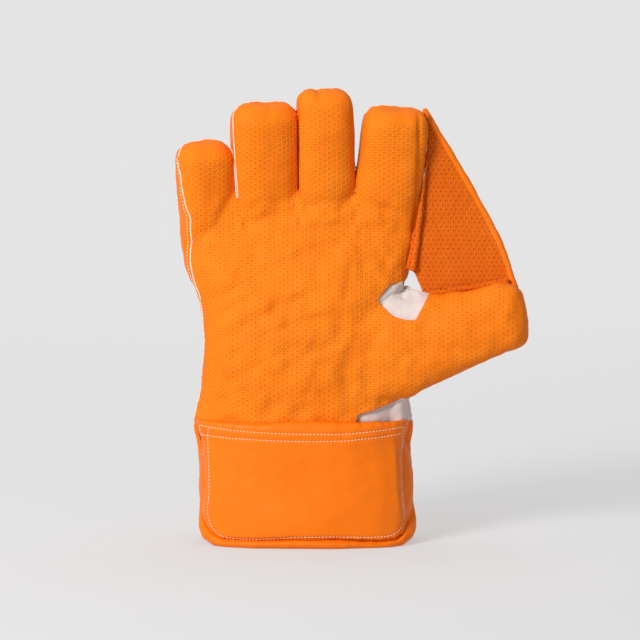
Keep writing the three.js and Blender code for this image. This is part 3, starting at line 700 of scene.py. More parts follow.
class Limb:
    """A row of rounded rings along an axis: columns along, across, half_across, through, half_through."""

    ROUNDNESS = 0.6
    RING_POINTS = 72

    def __init__(self, origin, turns, rings, power):
        lean, pitch, twist = (math.radians(angle) for angle in turns)
        turn = Quaternion((0, 1, 0), lean)
        turn = Quaternion(turn @ Vector((1, 0, 0)), pitch) @ turn
        turn = Quaternion(turn @ Vector((0, 0, 1)), twist) @ turn
        self.origin = Vector(origin)
        self.across = turn @ Vector((1, 0, 0))
        self.through = turn @ Vector((0, 1, 0))
        self.axis = turn @ Vector((0, 0, 1))
        self.rings = numpy.array(rings)
        self.power = power

    def place(self, across, through, along):
        steps = (self.across * float(across), self.through * float(through), self.axis * float(along))
        return self.origin + steps[0] + steps[1] + steps[2]

    def local(self, points):
        """Across, through and along of world points."""
        away = points - numpy.array(self.origin)
        return [away @ numpy.array(axis) for axis in (self.across, self.through, self.axis)]

    def ring_at(self, along):
        return [numpy.interp(along, self.rings[:, 0], self.rings[:, column]) for column in range(1, 5)]

    def add_to(self, bm, press=None):
        """Lofts the limb: one circle a ring, shaped, and bridged to the next. press moves a ring's points."""
        loops = []
        for along, across, half_across, through, half_through in self.rings:
            circle = bmesh.ops.create_circle(bm, radius=1, segments=self.RING_POINTS)["verts"]
            for vertex in circle:
                cosine, sine = vertex.co.x, vertex.co.y
                wide = math.copysign(abs(cosine) ** (2 / self.power), cosine)
                deep = math.copysign(abs(sine) ** (2 / self.power), sine)
                vertex.co = self.place(across + half_across * wide, through + half_through * deep, along)
                if press:
                    vertex.co = press(vertex.co)
            loops.append(list({edge for vertex in circle for edge in vertex.link_edges}))
        faces = []
        for one, other in zip(loops, loops[1:]):
            faces += bmesh.ops.bridge_loops(bm, edges=one + other)["faces"]
        for end in (loops[0], loops[-1]):
            faces += bmesh.ops.edgeloop_fill(bm, edges=end)["faces"]
        bmesh.ops.recalc_face_normals(bm, faces=faces)

    def unrolled(self, points):
        """How much further than straight across each point lies when the surface is laid flat."""
        across, through, along = self.local(points)
        middle, half_across, centre, half_through = self.ring_at(along)
        radius = numpy.minimum(half_across, half_through) * self.ROUNDNESS
        away = across - middle
        past = numpy.abs(away) - (half_across - radius)
        ahead = -(through - centre) - (half_through - radius)
        angle = numpy.arctan2(numpy.maximum(past, 0), numpy.maximum(ahead, 1e-9))
        arc = radius * angle + numpy.maximum(-ahead, 0)
        excess = numpy.where(past > 0, numpy.maximum(arc - past, 0), 0)
        flat = numpy.array((self.across.x, self.across.z))
        flat /= numpy.linalg.norm(flat)
        return (numpy.sign(away) * excess)[:, None] * flat[None, :], along


def palm_limb():
    spread = numpy.linspace(0, PALM_ROWS[-1][0], 40)
    table = numpy.array(PALM_ROWS)
    _, left, right, front, back = (hermite(spread, table[:, 0], table[:, column]) for column in range(5))
    rings = numpy.stack((
        spread * PALM_LENGTH,
        (left + right) * PALM_WIDTH / 2,
        (right - left) * PALM_WIDTH / 2,
        (front + back) * PALM_DEPTH / 2,
        (back - front) * PALM_DEPTH / 2,
    ), axis=1)
    foot = rings[0].copy()
    foot[0] -= 4 * MM
    origin = (MIDDLE.x, MIDDLE.y, CUFF_HEIGHT + CUFF_GAP)
    return Limb(origin, (0, 0, 0), numpy.vstack((foot, rings)), PALM_POWER)


def digit_rings(rows, length, width, depth, tip, rounding):
    """The rings of a digit: its rows drawn smooth, then a dome that rounds the tip off."""
    table = numpy.array(rows)
    straight = length - tip
    spread = numpy.linspace(0, 1, 24)
    shifts, wides, deeps = (hermite(spread, table[:, 0], table[:, column]) for column in (1, 2, 3))
    rings = [
        (up * straight, shift * width, wide * width / 2, 0, deep * depth / 2)
        for up, shift, wide, deep in zip(spread, shifts, wides, deeps)
    ]
    last = rings[-1]
    for share in numpy.linspace(0.08, 0.97, 10):
        angle = share * math.pi / 2
        rings.append((
            straight + tip * math.sin(angle),
            last[1],
            last[2] - rounding * (1 - math.cos(angle)),
            0,
            last[4] - TIP_ROUND_THROUGH * (1 - math.cos(angle)),
        ))
    return rings


def finger_limbs():
    root_height = CUFF_HEIGHT + FINGER_ROOT_UP * PALM_LENGTH
    limbs = {}
    for name, (x, long, wide, rounding, *turns) in FINGERS.items():
        origin = (MIDDLE.x + x * PALM_WIDTH, MIDDLE.y + FINGER_ROOT_DEEP * PALM_DEPTH, root_height)
        width = wide * PALM_WIDTH
        length = long * FINGER_LENGTH
        rings = digit_rings(FINGER_ROWS, length, width, FINGER_DEPTH, TIP_HEIGHT, rounding * width)
        limbs[name] = Limb(origin, turns, rings, DIGIT_POWER)
    return limbs


def thumb_limb():
    x, deep, up = THUMB_ROOT
    origin = (MIDDLE.x + x * PALM_WIDTH, MIDDLE.y + deep * PALM_DEPTH, CUFF_HEIGHT + up * PALM_LENGTH)
    rings = digit_rings(
        THUMB_ROWS, THUMB_LENGTH, THUMB_WIDTH, THUMB_DEPTH, THUMB_TIP_HEIGHT, THUMB_ROUND * THUMB_WIDTH)
    return Limb(origin, THUMB_TURNS, rings, DIGIT_POWER)


def parting_plane(one, other):
    """The middle of the gap between two neighbouring fingers: a point and the direction across it."""
    one_side = one.origin + one.across * (one.rings[:, 2].max())
    other_side = other.origin - other.across * (other.rings[:, 2].max())
    return (one_side + other_side) / 2, (one.across + other.across).normalized()


def presser(limbs, name):
    """Keeps a finger's points on its own side of the gaps, above the crotch."""
    number = FINGER_NAMES.index(name)
    half = sizes().finger_gap / 2
    crotch = CUFF_HEIGHT + CROTCH_UP * PALM_LENGTH
    planes = []
    if number > 0:
        point, across = parting_plane(limbs[FINGER_NAMES[number - 1]], limbs[name])
        planes.append((point, across))
    if number < len(FINGER_NAMES) - 1:
        point, across = parting_plane(limbs[name], limbs[FINGER_NAMES[number + 1]])
        planes.append((point, -across))

    def press(point):
        share = min(max((point.z - crotch + 6 * MM) / (8 * MM), 0), 1)
        for origin, inward in planes:
            short = half - (point - origin).dot(inward)
            if short > 0:
                point = point + inward * short * share
        return point

    return press


def fold(bm, folds, trust=1.0, towards=-1):
    """Presses soft folds into a surface along lines of the photograph.

    trust fades them, one share a vertex. They go into faces that look towards the front, or the back with 1.
    """
    points = places_of(bm)
    bm.normal_update()
    normals = numpy.array([vertex.normal[:] for vertex in bm.verts])
    seen = points[:, (0, 2)]
    push = numpy.zeros(len(points))
    for _, line, width, depth in folds:
        corners = numpy.array([from_photo(*corner) for corner in line])
        nearest = numpy.full(len(points), 1e9)
        ends = numpy.zeros(len(points))
        lengths = numpy.linalg.norm(numpy.diff(corners, axis=0), axis=1)
        done = 0.0
        for begin, end, length in zip(corners, corners[1:], lengths):
            share = numpy.clip(((seen - begin) @ (end - begin)) / length ** 2, 0, 1)
            away = numpy.linalg.norm(seen - begin - share[:, None] * (end - begin), axis=1)
            better = away < nearest
            nearest = numpy.where(better, away, nearest)
            ends = numpy.where(better, (done + share * length) / lengths.sum(), ends)
            done += length
        faded = smoothstep(ends, -0.02, 0.16) * smoothstep(1 - ends, -0.02, 0.16)
        push += depth * MM * numpy.exp(-(nearest / (width * MM)) ** 2) * (0.35 + 0.65 * faded)
    push *= trust * smoothstep(normals[:, 1] * towards, 0.15, 0.6)
    for vertex, inward in zip(bm.verts, push):
        vertex.co -= vertex.normal * inward


def unevened(bm, *waves):
    """Makes a surface softly uneven: a wave has a length and a height in millimetres, and its shares."""
    bm.normal_update()
    moves = [Vector() for _ in bm.verts]
    for length, height, shares in waves:
        for number, vertex in enumerate(bm.verts):
            share = shares if isinstance(shares, float) else float(shares[number])
            if share > 0.01:
                swell = noise.noise(vertex.co / (length * MM)) * height * share * MM
                moves[number] += vertex.normal * swell
    for vertex, move in zip(bm.verts, moves):
        vertex.co += move
    return bm


def cut_along(bm, field):
    """Cuts the faces where a vertex field changes sign, by way of a near vertex where there is one."""
    layer = bm.verts.layers.float[field]
    for vertex in bm.verts:
        if abs(vertex[layer]) < 1e-5:
            vertex[layer] = 0.0
    crossing = [edge for edge in bm.edges if edge.verts[0][layer] * edge.verts[1][layer] < 0]
    for snap in (True, False):
        for edge in crossing:
            one, other = edge.verts
            if one[layer] * other[layer] >= 0:
                continue
            share = one[layer] / (one[layer] - other[layer])
            if not snap:
                _, vertex = bmesh.utils.edge_split(edge, one, share)
                vertex[layer] = 0.0
            elif share < 0.12:
                one[layer] = 0.0
            elif share > 0.88:
                other[layer] = 0.0
    touching = [vertex for vertex in bm.verts if vertex[layer] == 0.0]
    bmesh.ops.connect_verts(bm, verts=touching)


def set_field(bm, field, values):
    layer = bm.verts.layers.float.get(field) or bm.verts.layers.float.new(field)
    for vertex, value in zip(bm.verts, values):
        vertex[layer] = float(value)


def side_of(face, layer):
    return 1 if sum(vertex[layer] for vertex in face.verts) > 0 else -1


def part_with(bm, wanted):
    """A copy of the bmesh with only the faces that lie on the wanted side, -1 or 1, of each field named."""
    made = bm.copy()
    for field, sign in wanted.items():
        layer = made.verts.layers.float[field]
        gone = [face for face in made.faces if side_of(face, layer) != sign]
        bmesh.ops.delete(made, geom=gone, context="FACES")
    return made


def chains_of(edges):
    """Runs of edges as lists of places, each with True if it closes on itself."""
    links = {}
    for edge in edges:
        for vertex in edge.verts:
            links.setdefault(vertex, []).append(edge)
    left = set(edges)
    starts = [vertex for vertex, joined in links.items() if len(joined) != 2] + list(links)
    chains = []
    for start in starts:
        while any(edge in left for edge in links[start]):
            run = [start]
            vertex = start
            while True:
                edge = next((edge for edge in links[vertex] if edge in left), None)
                if edge is None:
                    break
                left.discard(edge)
                vertex = edge.other_vert(vertex)
                run.append(vertex)
                if len(links[vertex]) != 2:
                    break
            chains.append(([vertex.co.copy() for vertex in run], run[0] is run[-1]))
    return chains


def evened(points, closed, step, passes=3):
    """A line resampled at even steps, then smoothed."""
    line = numpy.array([point[:] for point in points])
    whole = run_lengths(line)[-1]
    line = along_line(numpy.linspace(0, whole, max(int(whole / step), 3) + 1), line)
    if closed:
        line = line[:-1]
    for _ in range(passes):
        before, after = numpy.roll(line, 1, axis=0), numpy.roll(line, -1, axis=0)
        if not closed:
            before[0], after[-1] = line[0], line[-1]
            before[-1], after[0] = line[-2], line[1]
        line = (before + 2 * line + after) / 4
    return line


def tube_along(bm, line, radius, closed, sides):
    """A round tube: one circle a point, bridged to the next."""
    loops = []
    count = len(line)
    side = Vector((0, 1, 0))
    for number, point in enumerate(line):
        before = line[(number - 1) % count] if closed or number else line[0]
        after = line[(number + 1) % count] if closed or number < count - 1 else line[-1]
        ahead = Vector(after) - Vector(before)
        ahead.normalize()
        side = side - ahead * side.dot(ahead)
        side.normalize()
        turn = Matrix((ahead.cross(side), side, ahead)).transposed().to_4x4()
        turn.translation = Vector(point)
        circle = bmesh.ops.create_circle(bm, radius=radius, segments=sides, matrix=turn)["verts"]
        loops.append(list({edge for vertex in circle for edge in vertex.link_edges}))
    pairs = list(zip(loops, loops[1:] + loops[:1])) if closed else list(zip(loops, loops[1:]))
    faces = []
    for one, following in pairs:
        faces += bmesh.ops.bridge_loops(bm, edges=one + following)["faces"]
    if not closed:
        for end in (loops[0], loops[-1]):
            faces += bmesh.ops.edgeloop_fill(bm, edges=end)["faces"]
    bmesh.ops.recalc_face_normals(bm, faces=faces)


def add_stitches(bm, line, tree):
    """A row of stitches on a surface, along a line: slim drops of thread that dip in at both ends."""
    pitch, length, radius = sizes().stitch_pitch, sizes().stitch_length, sizes().stitch_radius
    line = numpy.asarray(line)
    centres = (numpy.arange(int(run_lengths(line)[-1] / pitch)) + 0.5) * pitch
    row = bmesh.new()
    for begin, end in zip(along_line(centres - length / 2, line), along_line(centres + length / 2, line)):
        begin, end = Vector(begin), Vector(end)
        middle, normal, _, _ = tree.find_nearest((begin + end) / 2)
        ahead = end - begin
        ahead -= normal * ahead.dot(normal)
        if ahead.length < 1e-6:
            continue
        ahead.normalize()
        side = ahead.cross(normal)
        turn = Matrix((side * radius, ahead * (length / 2), normal * radius)).transposed().to_4x4()
        turn.translation = middle + normal * radius * STITCH_RISE
        lengthwise = turn @ Matrix.Rotation(math.pi / 2, 4, "X")
        bmesh.ops.create_uvsphere(row, u_segments=6, v_segments=5, radius=1, matrix=lengthwise)
    add_to(bm, row)


def on_surface(tree, line, depth, towards):
    """The pixels of a line laid on a surface that is seen from the front, or from the back with 1."""
    corners = numpy.array([from_photo(*corner, depth) for corner in line])
    whole = run_lengths(corners)[-1]
    runs = [[]]
    for across, height in along_line(numpy.linspace(0, whole, max(int(whole / MM), 2)), corners):
        place = seen_from(tree, across, height, towards)
        if place is None or (runs[-1] and (place - runs[-1][-1]).length > 4 * MM):
            runs.append([])
        if place is not None:
            runs[-1].append(place)
    return [run for run in runs if len(run) > 3]


def beside(tree, line, closed, offset):
    """A line moved over a surface, towards the glove's back."""
    points = [Vector(point) for point in line]
    moved = []
    for number, point in enumerate(points):
        before = points[number - 1] if closed or number else point
        after = points[(number + 1) % len(points)] if closed or number < len(points) - 1 else point
        place, normal, _, _ = tree.find_nearest(point)
        side = (after - before).cross(normal).normalized()
        side *= 1 if side.y > 0 else -1
        moved.append(tree.find_nearest(point + side * offset - normal * 0.3 * MM)[0])
    return moved


def tree_of_pieces(*names):
    """The surface of finished pieces, for other pieces to lie on."""
    bm = bmesh.new()
    for name in names:
        bm.from_mesh(bpy.data.objects[name].data)
    tree = tree_of(bm)
    bm.free()
    return tree


# The hand's surface is made once and shared by the pieces that are cut from it

class Hand:
    """The outer surface of palm, fingers and thumb, cut along its seam and its holes."""

    def __init__(self):
        self.palm = palm_limb()
        self.fingers = finger_limbs()
        self.thumb = thumb_limb()
        self.crotch = CUFF_HEIGHT + CROTCH_UP * PALM_LENGTH
        bm = bmesh.new()
        self.palm.add_to(bm)
        for name, limb in self.fingers.items():
            limb.add_to(bm, presser(self.fingers, name))
        self.thumb.add_to(bm)
        bm = remeshed(bm, sizes().hand_voxel, 14)
        bmesh.ops.bisect_plane(
            bm, geom=[*bm.verts, *bm.edges, *bm.faces], dist=1e-6,
            plane_co=(0, 0, CUFF_HEIGHT + CUFF_GAP), plane_no=(0, 0, 1), clear_inner=True)
        points = places_of(bm)
        facing = distances(node_tree("palm_facing"), points)
        back = distances(node_tree(*BACK_NODES), points)
        seam = facing - back - self.reach(points)
        set_field(bm, "seam", seam)
        set_field(bm, "hole", self.bare(points, numpy.minimum(facing, back)))
        self.shape(bm, points, seam)
        cut_along(bm, "hole")
        cut_along(bm, "seam")
        self.surface = bm
        self.seam = bm.verts.layers.float["seam"]
        self.hole = bm.verts.layers.float["hole"]

    def bare(self, points, covered):
        """More than 0 where no leather of the frame covers the surface, near the gussets."""
        near = numpy.zeros(len(points), bool)
        for gusset in ("thumb_gusset", "wrist_gusset"):
            low, high = (numpy.array(corner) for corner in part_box(gusset))
            near |= numpy.all((points > low - 3 * MM) & (points < high + 3 * MM), axis=1)
        (left, high), (right, higher) = (from_photo(*pixel) for pixel in WRIST_EDGE)
        edge = high + (points[:, 0] - left) * (higher - high) / (right - left)
        bare = covered - HOLE_MARGIN
        by_wrist = points[:, 2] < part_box("thumb_gusset")[0].z
        bare = numpy.where(by_wrist, numpy.minimum(bare, edge - points[:, 2]), bare)
        return numpy.where(near, bare, -FAR_INSIDE)

    def gaps(self, points):
        """For each gap between two fingers, how far points lie past its middle, and the way across it."""
        limbs = list(self.fingers.values())
        for one, other in zip(limbs, limbs[1:]):
            origin, across = (numpy.array(vector) for vector in parting_plane(one, other))
            yield (points - origin) @ across, across

    def shape(self, bm, points, seam):
        """Brings the fingers together and adds folds, notches and the softness of worn leather."""
        for vertex, point in zip(bm.verts, self.closed_up(points)):
            vertex.co = point
        clear = self.clear_of_gaps(points)
        fold(bm, FOLDS, clear * smoothstep(-seam, 0, 3 * MM))
        fold(bm, BACK_FOLDS, clear * smoothstep(seam, 0, 3 * MM), towards=1)
        below_crotch = smoothstep(points[:, 2], self.crotch + 8 * MM, self.crotch)
        shares = {
            "all": 1.0,
            "off gaps": clear,
            "by seam": clear * numpy.exp(-(seam / (3.2 * MM)) ** 2),
            "back": clear * smoothstep(seam, 0, 6 * MM),
            "palm": clear * smoothstep(-seam, 3 * MM, 12 * MM) * below_crotch,
        }
        unevened(bm, *((length, height, shares[part]) for length, height, part in HAND_WAVES))

    def clear_of_gaps(self, points):
        """0 in the gap between two fingers and at its foot, 1 away from it."""
        clear = numpy.ones(len(points))
        above = smoothstep(points[:, 2], *(self.crotch - under for under in SMOOTH_UNDER))
        for away, _ in self.gaps(points):
            near = 1 - smoothstep(numpy.abs(away), 0.8 * MM, 3.5 * MM)
            clear = numpy.minimum(clear, 1 - above * near)
        return clear

    def owner(self, points):
        """The number of the finger that each point is nearest to."""
        return sum((away > 0).astype(int) for away, _ in self.gaps(points))

    def reach(self, points):
        """How far the facing wraps on past the frame's seam, as a difference of the two distances."""
        owner = self.owner(points)
        above = smoothstep(points[:, 2], self.crotch - 6 * MM, self.crotch + 12 * MM)
        total = numpy.zeros(len(points))
        for number, (name, limb) in enumerate([*self.fingers.items(), ("thumb", self.thumb)]):
            across, _, along = limb.local(points)
            middle, half, _, _ = limb.ring_at(along)
            away = (across - middle) / half
            top = limb.rings[-1, 0]
            left_root, left_tip, right_root, right_tip, over = SEAM_REACH[name]
            up = smoothstep(along, 0.4 * top, 0.85 * top)
            side = smoothstep(away, -0.6, 0.6)
            dome = smoothstep(along, top - 0.7 * TIP_HEIGHT, top - 0.15 * TIP_HEIGHT)
            left, right = left_root + (left_tip - left_root) * up, right_root + (right_tip - right_root) * up
            width = ((left * (1 - side) + right * side) * (1 - dome) + over * dome) * MM
            if name == "thumb":
                share = smoothstep(along, 15 * MM, 50 * MM)
                share *= (numpy.abs(away) < 1.3) * (points[:, 2] < self.crotch)
            else:
                share = above * (owner == number)
            total += share * numpy.minimum(2 * width, width + WELT_HALF)
        return total

    def closed_up(self, points):
        """The points with neighbouring fingers brought together, which the frame keeps a little apart."""
        points = points.copy()
        half = sizes().finger_gap / 2
        open_from, open_to = (from_photo(0, row)[1] for row in INDEX_GAP_ROWS)
        for number, (away, across) in enumerate(self.gaps(points)):
            share = 1 - smoothstep(numpy.abs(away), half, 4 * MM)
            share *= smoothstep(points[:, 2], *(self.crotch - under for under in CLOSING_UNDER))
            if FINGER_NAMES[number + 1] == "index":
                share *= 1 - smoothstep(points[:, 2], open_from, open_to)
            move = numpy.minimum(half - CLOSED_GAP / 2, 0.85 * numpy.abs(away)) * numpy.sign(away)
            points -= (move * share)[:, None] * across
        owner = self.owner(points)
        for name, offset, width, depth in NOTCHES:
            limb = self.fingers[name]
            across, _, along = limb.local(points)
            top = limb.rings[-1, 0]
            share = numpy.exp(-((across - offset * MM) / (width * MM)) ** 2)
            share *= smoothstep(along, top - 9 * MM, top) * (owner == FINGER_NAMES.index(name))
            points -= (share * depth * MM)[:, None] * numpy.array(limb.axis)
        return points

    def part(self, facing):
        return part_with(self.surface, {"hole": -1, "seam": -1 if facing else 1})

    def seam_lines(self):
        edges = []
        for edge in self.surface.edges:
            if len(edge.link_faces) != 2:
                continue
            one, other = (side_of(face, self.seam) for face in edge.link_faces)
            if one != other and all(side_of(face, self.hole) < 0 for face in edge.link_faces):
                edges.append(edge)
        return [chain for chain in chains_of(edges) if len(chain[0]) > 12]

    def unrolled_map(self, points):
        """Flat coordinates of surface points, in metres, straight across the palm and round each digit."""
        flat = points[:, (0, 2)].copy()
        excess, _ = self.palm.unrolled(points)
        below = smoothstep(CUFF_HEIGHT + 0.98 * PALM_LENGTH - points[:, 2], 0, 0.2 * PALM_LENGTH)
        flat += excess * (below * (points[:, 0] < MIDDLE.x))[:, None]
        above = points[:, 2] > CUFF_HEIGHT + 0.7 * PALM_LENGTH
        owner = self.owner(points)
        for number, limb in enumerate(self.fingers.values()):
            excess, along = limb.unrolled(points)
            share = above * (owner == number) * smoothstep(along, 0.1 * PALM_LENGTH, 0.3 * PALM_LENGTH)
            flat += excess * share[:, None]
        excess, along = self.thumb.unrolled(points)
        share = ~above * smoothstep(along, 25 * MM, 55 * MM)
        flat += excess * share[:, None]
        return flat

    def relief(self, points):
        """1 where the rubber is dimpled, 0 at the smooth fingertips."""
        share = numpy.ones(len(points))
        for limb in [*self.fingers.values(), self.thumb]:
            across, through, along = limb.local(points)
            top = limb.rings[-1, 0]
            inside = numpy.abs(across) < 1.1 * limb.rings[:, 2].max()
            inside &= numpy.abs(through) < 1.2 * limb.rings[:, 4].max()
            dimpled = smoothstep(top - along, 1.5 * MM, 9 * MM)
            share = numpy.where(inside, numpy.minimum(share, dimpled), share)
        return share


shared = {}


def the_hand():
    if "hand" not in shared:
        shared["hand"] = Hand()
    return shared["hand"]


def thickened(bm, thickness):
    """Gives a sheet its thickness, inwards."""
    return with_modifiers(bm, ("SOLIDIFY", {"thickness": thickness, "offset": -1, "use_rim": True}))


def grown(bm, by):
    """Moves a surface outwards, as a remesh draws its edges in."""
    bm.normal_update()
    for vertex in bm.verts:
        vertex.co += vertex.normal * by
    return bm


def swollen(bm, cap):
    """Blows a closed shape up like a stuffed pad. A point moves outwards alone, and no further than cap."""
    scene = bpy.context.scene
    helper = placed("pad", mesh_of(bm.copy(), "pad"))
    settings = helper.modifiers.new("swelling", "CLOTH").settings
    settings.use_pressure = True
    settings.uniform_pressure_force = SWELLING_PRESSURE
    settings.effector_weights.gravity = 0
    for step in range(SWELLING_FRAMES):
        scene.frame_set(1 + step)
    swelled = helper.evaluated_get(bpy.context.evaluated_depsgraph_get()).data
    bm.normal_update()
    for vertex, there in zip(bm.verts, swelled.vertices):
        outward = max((there.co - vertex.co).dot(vertex.normal), 0)
        vertex.co += vertex.normal * cap * math.tanh(outward / cap)
    scene.frame_set(1)
    bpy.data.meshes.remove(helper.data)
    return bm


def mapped(bm, flat, relief):
    """Writes an unrolled map and the dimples' relief onto a bmesh."""
    uv = bm.loops.layers.uv.new("unrolled")
    layer = bm.verts.layers.float.new("relief")
    bm.verts.index_update()
    for vertex, share in zip(bm.verts, relief):
        vertex[layer] = float(share)
    for face in bm.faces:
        for loop in face.loops:
            loop[uv].uv = flat[loop.vert.index]


# Operators: one for each piece or group of like pieces, and one for the stage

class GLOVE_OT_facing(bpy.types.Operator):
    """Makes the dimpled facing over palm, fingers and thumb"""
    bl_idname = "glove.facing"
    bl_label = "Dimpled facing"

    def execute(self, context):
        hand = the_hand()
        sheet = hand.part(facing=True)
        points = places_of(sheet)
        mapped(sheet, hand.unrolled_map(points), hand.relief(points))
        solid = thickened(sheet, sizes().wall)
        material = dimpled_rubber("dimpled_rubber", colours().facing, sizes().dimple_pitch, sideways=False)
        piece = finish_piece(solid, "dimpled_facing", material, ["palm_facing"])
        return {"FINISHED"}


class GLOVE_OT_backs(bpy.types.Operator):
    """Makes the smooth leather back of the hand, fingers and thumb"""
    bl_idname = "glove.backs"
    bl_label = "Leather back"

    def execute(self, context):
        solid = thickened(the_hand().part(facing=False), sizes().wall)
        material = smooth_leather("back_leather", colours().leather, creasing=1.1 * MM)
        piece = finish_piece(solid, "leather_back", material, BACK_NODES)
        return {"FINISHED"}


class GLOVE_OT_welts(bpy.types.Operator):
    """Lays white piping along the seam between facing and back"""
    bl_idname = "glove.welts"
    bl_label = "White piping"

    def execute(self, context):
        bm = bmesh.new()
        for points, closed in the_hand().seam_lines():
            tube_along(bm, evened(points, closed, 1.6 * MM, passes=4), sizes().welt_radius, closed, sides=8)
        material = soft_white_leather("piping_leather", colours().piping)
        finish_piece(bm, "white_piping", material, ["finger_welt", "thumb_welt"])
        return {"FINISHED"}


class GLOVE_OT_gussets(bpy.types.Operator):
    """Makes the white leather in the thumb crotch and at the wrist"""
    bl_idname = "glove.gussets"
    bl_label = "White gussets"

    def execute(self, context):
        material = soft_white_leather("gusset_leather", colours().white, wear=0.82)
        hand = the_hand()
        outside = tree_of(hand.surface)
        bm = node_copy("thumb_gusset")
        lobe = [self.inside(outside, pixel, LOBE_DEEP) for pixel in LOBE]
        tube_along(bm, evened(lobe, False, 1.5 * MM), LOBE_RADIUS, False, sides=16)
        self.add_flap(bm, outside)
        bm = remeshed(bm, 0.5 * MM, 3)
        unevened(bm, *THUMB_GUSSET_WAVES)
        finish_piece(bm, "white_thumb_gusset", material, ["thumb_gusset"])
        bm = remeshed(node_copy("wrist_gusset"), 0.6 * MM, 6)
        fold(bm, GUSSET_FOLDS)
        unevened(bm, *WRIST_GUSSET_WAVES)
        self.add_end(bm, hand)
        finish_piece(bm, "white_wrist_gusset", material, ["wrist_gusset"])
        return {"FINISHED"}

    def inside(self, outside, pixel, depth):
        """The place that a pixel shows, that far behind the hand's surface there or just below."""
        across, height = from_photo(*pixel)
        for drop in range(30):
            place = seen_from(outside, across, height - drop * MM)
            if place is not None:
                return Vector((across, place.y + depth, height))
        raise ValueError(f"no hand below pixel {pixel}")

    def add_flap(self, bm, outside):
        """The flat flap of the thumb's gusset that lies against the facing, in front of the lobe."""
        flap = bmesh.new()
        places = [self.inside(outside, pixel, FLAP_DEEP) for pixel in FLAP]
        flap.faces.new([bmesh.ops.create_vert(flap, co=place)["vert"][0] for place in places])
        bmesh.ops.triangulate(flap, faces=flap.faces)
        bmesh.ops.subdivide_edges(flap, edges=flap.edges, cuts=5, use_grid_fill=True)
        for vertex in flap.verts:
            ahead = seen_from(outside, vertex.co.x, vertex.co.z)
            if ahead is not None:
                vertex.co.y = ahead.y + FLAP_DEEP
        bmesh.ops.recalc_face_normals(flap, faces=flap.faces)
        if sum(face.normal.y for face in flap.faces) > 0:
            bmesh.ops.reverse_faces(flap, faces=flap.faces)
        add_to(bm, thickened(flap, FLAP_WALL))

    def add_end(self, bm, hand):
        """The wrist's white leather, behind the facing's edge and out round the hand's right side."""
        begin, inner, outer, row = WRIST_END
        left, high = from_photo(begin, row)
        hidden, shown = (from_photo(column, row)[0] for column in (inner, outer))
        (start, low), (end, top) = (from_photo(*pixel) for pixel in WRIST_EDGE)
        sheet = hand.surface.copy()
        gone = []
        for face in sheet.faces:
            middle = face.calc_center_median()
            edge = low + (middle.x - start) * (top - low) / (end - start) + 3 * MM
            if middle.x < left or middle.z > min(high, edge) or middle.y > 6 * MM:
                gone.append(face)
        bmesh.ops.delete(sheet, geom=gone, context="FACES")
        sheet.normal_update()
        for vertex in sheet.verts:
            out = float(smoothstep(vertex.co.x, hidden, shown))
            below = float(smoothstep(vertex.co.z, 77 * MM, 73 * MM))
            vertex.co += vertex.normal * (3.0 * out - 2.6 - 3.6 * below) * MM
        add_to(bm, thickened(unevened(sheet, *WRIST_END_WAVES), WHITE_WALL))


class GLOVE_OT_web(bpy.types.Operator):
    """Makes the catching web with its binding and its two flanges"""
    bl_idname = "glove.web"
    bl_label = "Catching web"

    def execute(self, context):
        pitch = sizes().web_dimple_pitch
        # Painted shade: the web's darker rubber and its heavier pore shading
        rubber = dimpled_rubber("shaded_web_rubber", colours().web, pitch, sideways=True, pore_shade_weight=1.4)
        for node in ("web_panel", "web_flange_index", "web_flange_thumb"):
            hidden = ["web_binding"] if node == "web_panel" else []
            bm = self.softened(node, *hidden)
            self.tucked(bm)
            points = places_of(bm)
            mapped(bm, points[:, (0, 2)], numpy.ones(len(points)))
            finish_piece(bm, f"dimpled_{node}", rubber, [node])
        leather = smooth_leather("binding_leather", colours().leather)
        bm = grown(self.softened("web_binding"), 0.35 * MM)
        self.tucked(bm)
        finish_piece(bm, "smooth_web_binding", leather, ["web_binding"])
        return {"FINISHED"}

    def softened(self, *nodes):
        bm = remeshed(node_copy(*nodes), sizes().fine_voxel, 8)
        return unevened(bm, *WEB_WAVES)

    def tucked(self, bm):
        """Brings the web's foot down onto the thumb."""
        low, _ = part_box("web_flange_thumb")
        for vertex in bm.verts:
            share = smoothstep(vertex.co.z, low.z + 24 * MM, low.z + 2 * MM)
            vertex.co.z -= WEB_TUCK * float(share)


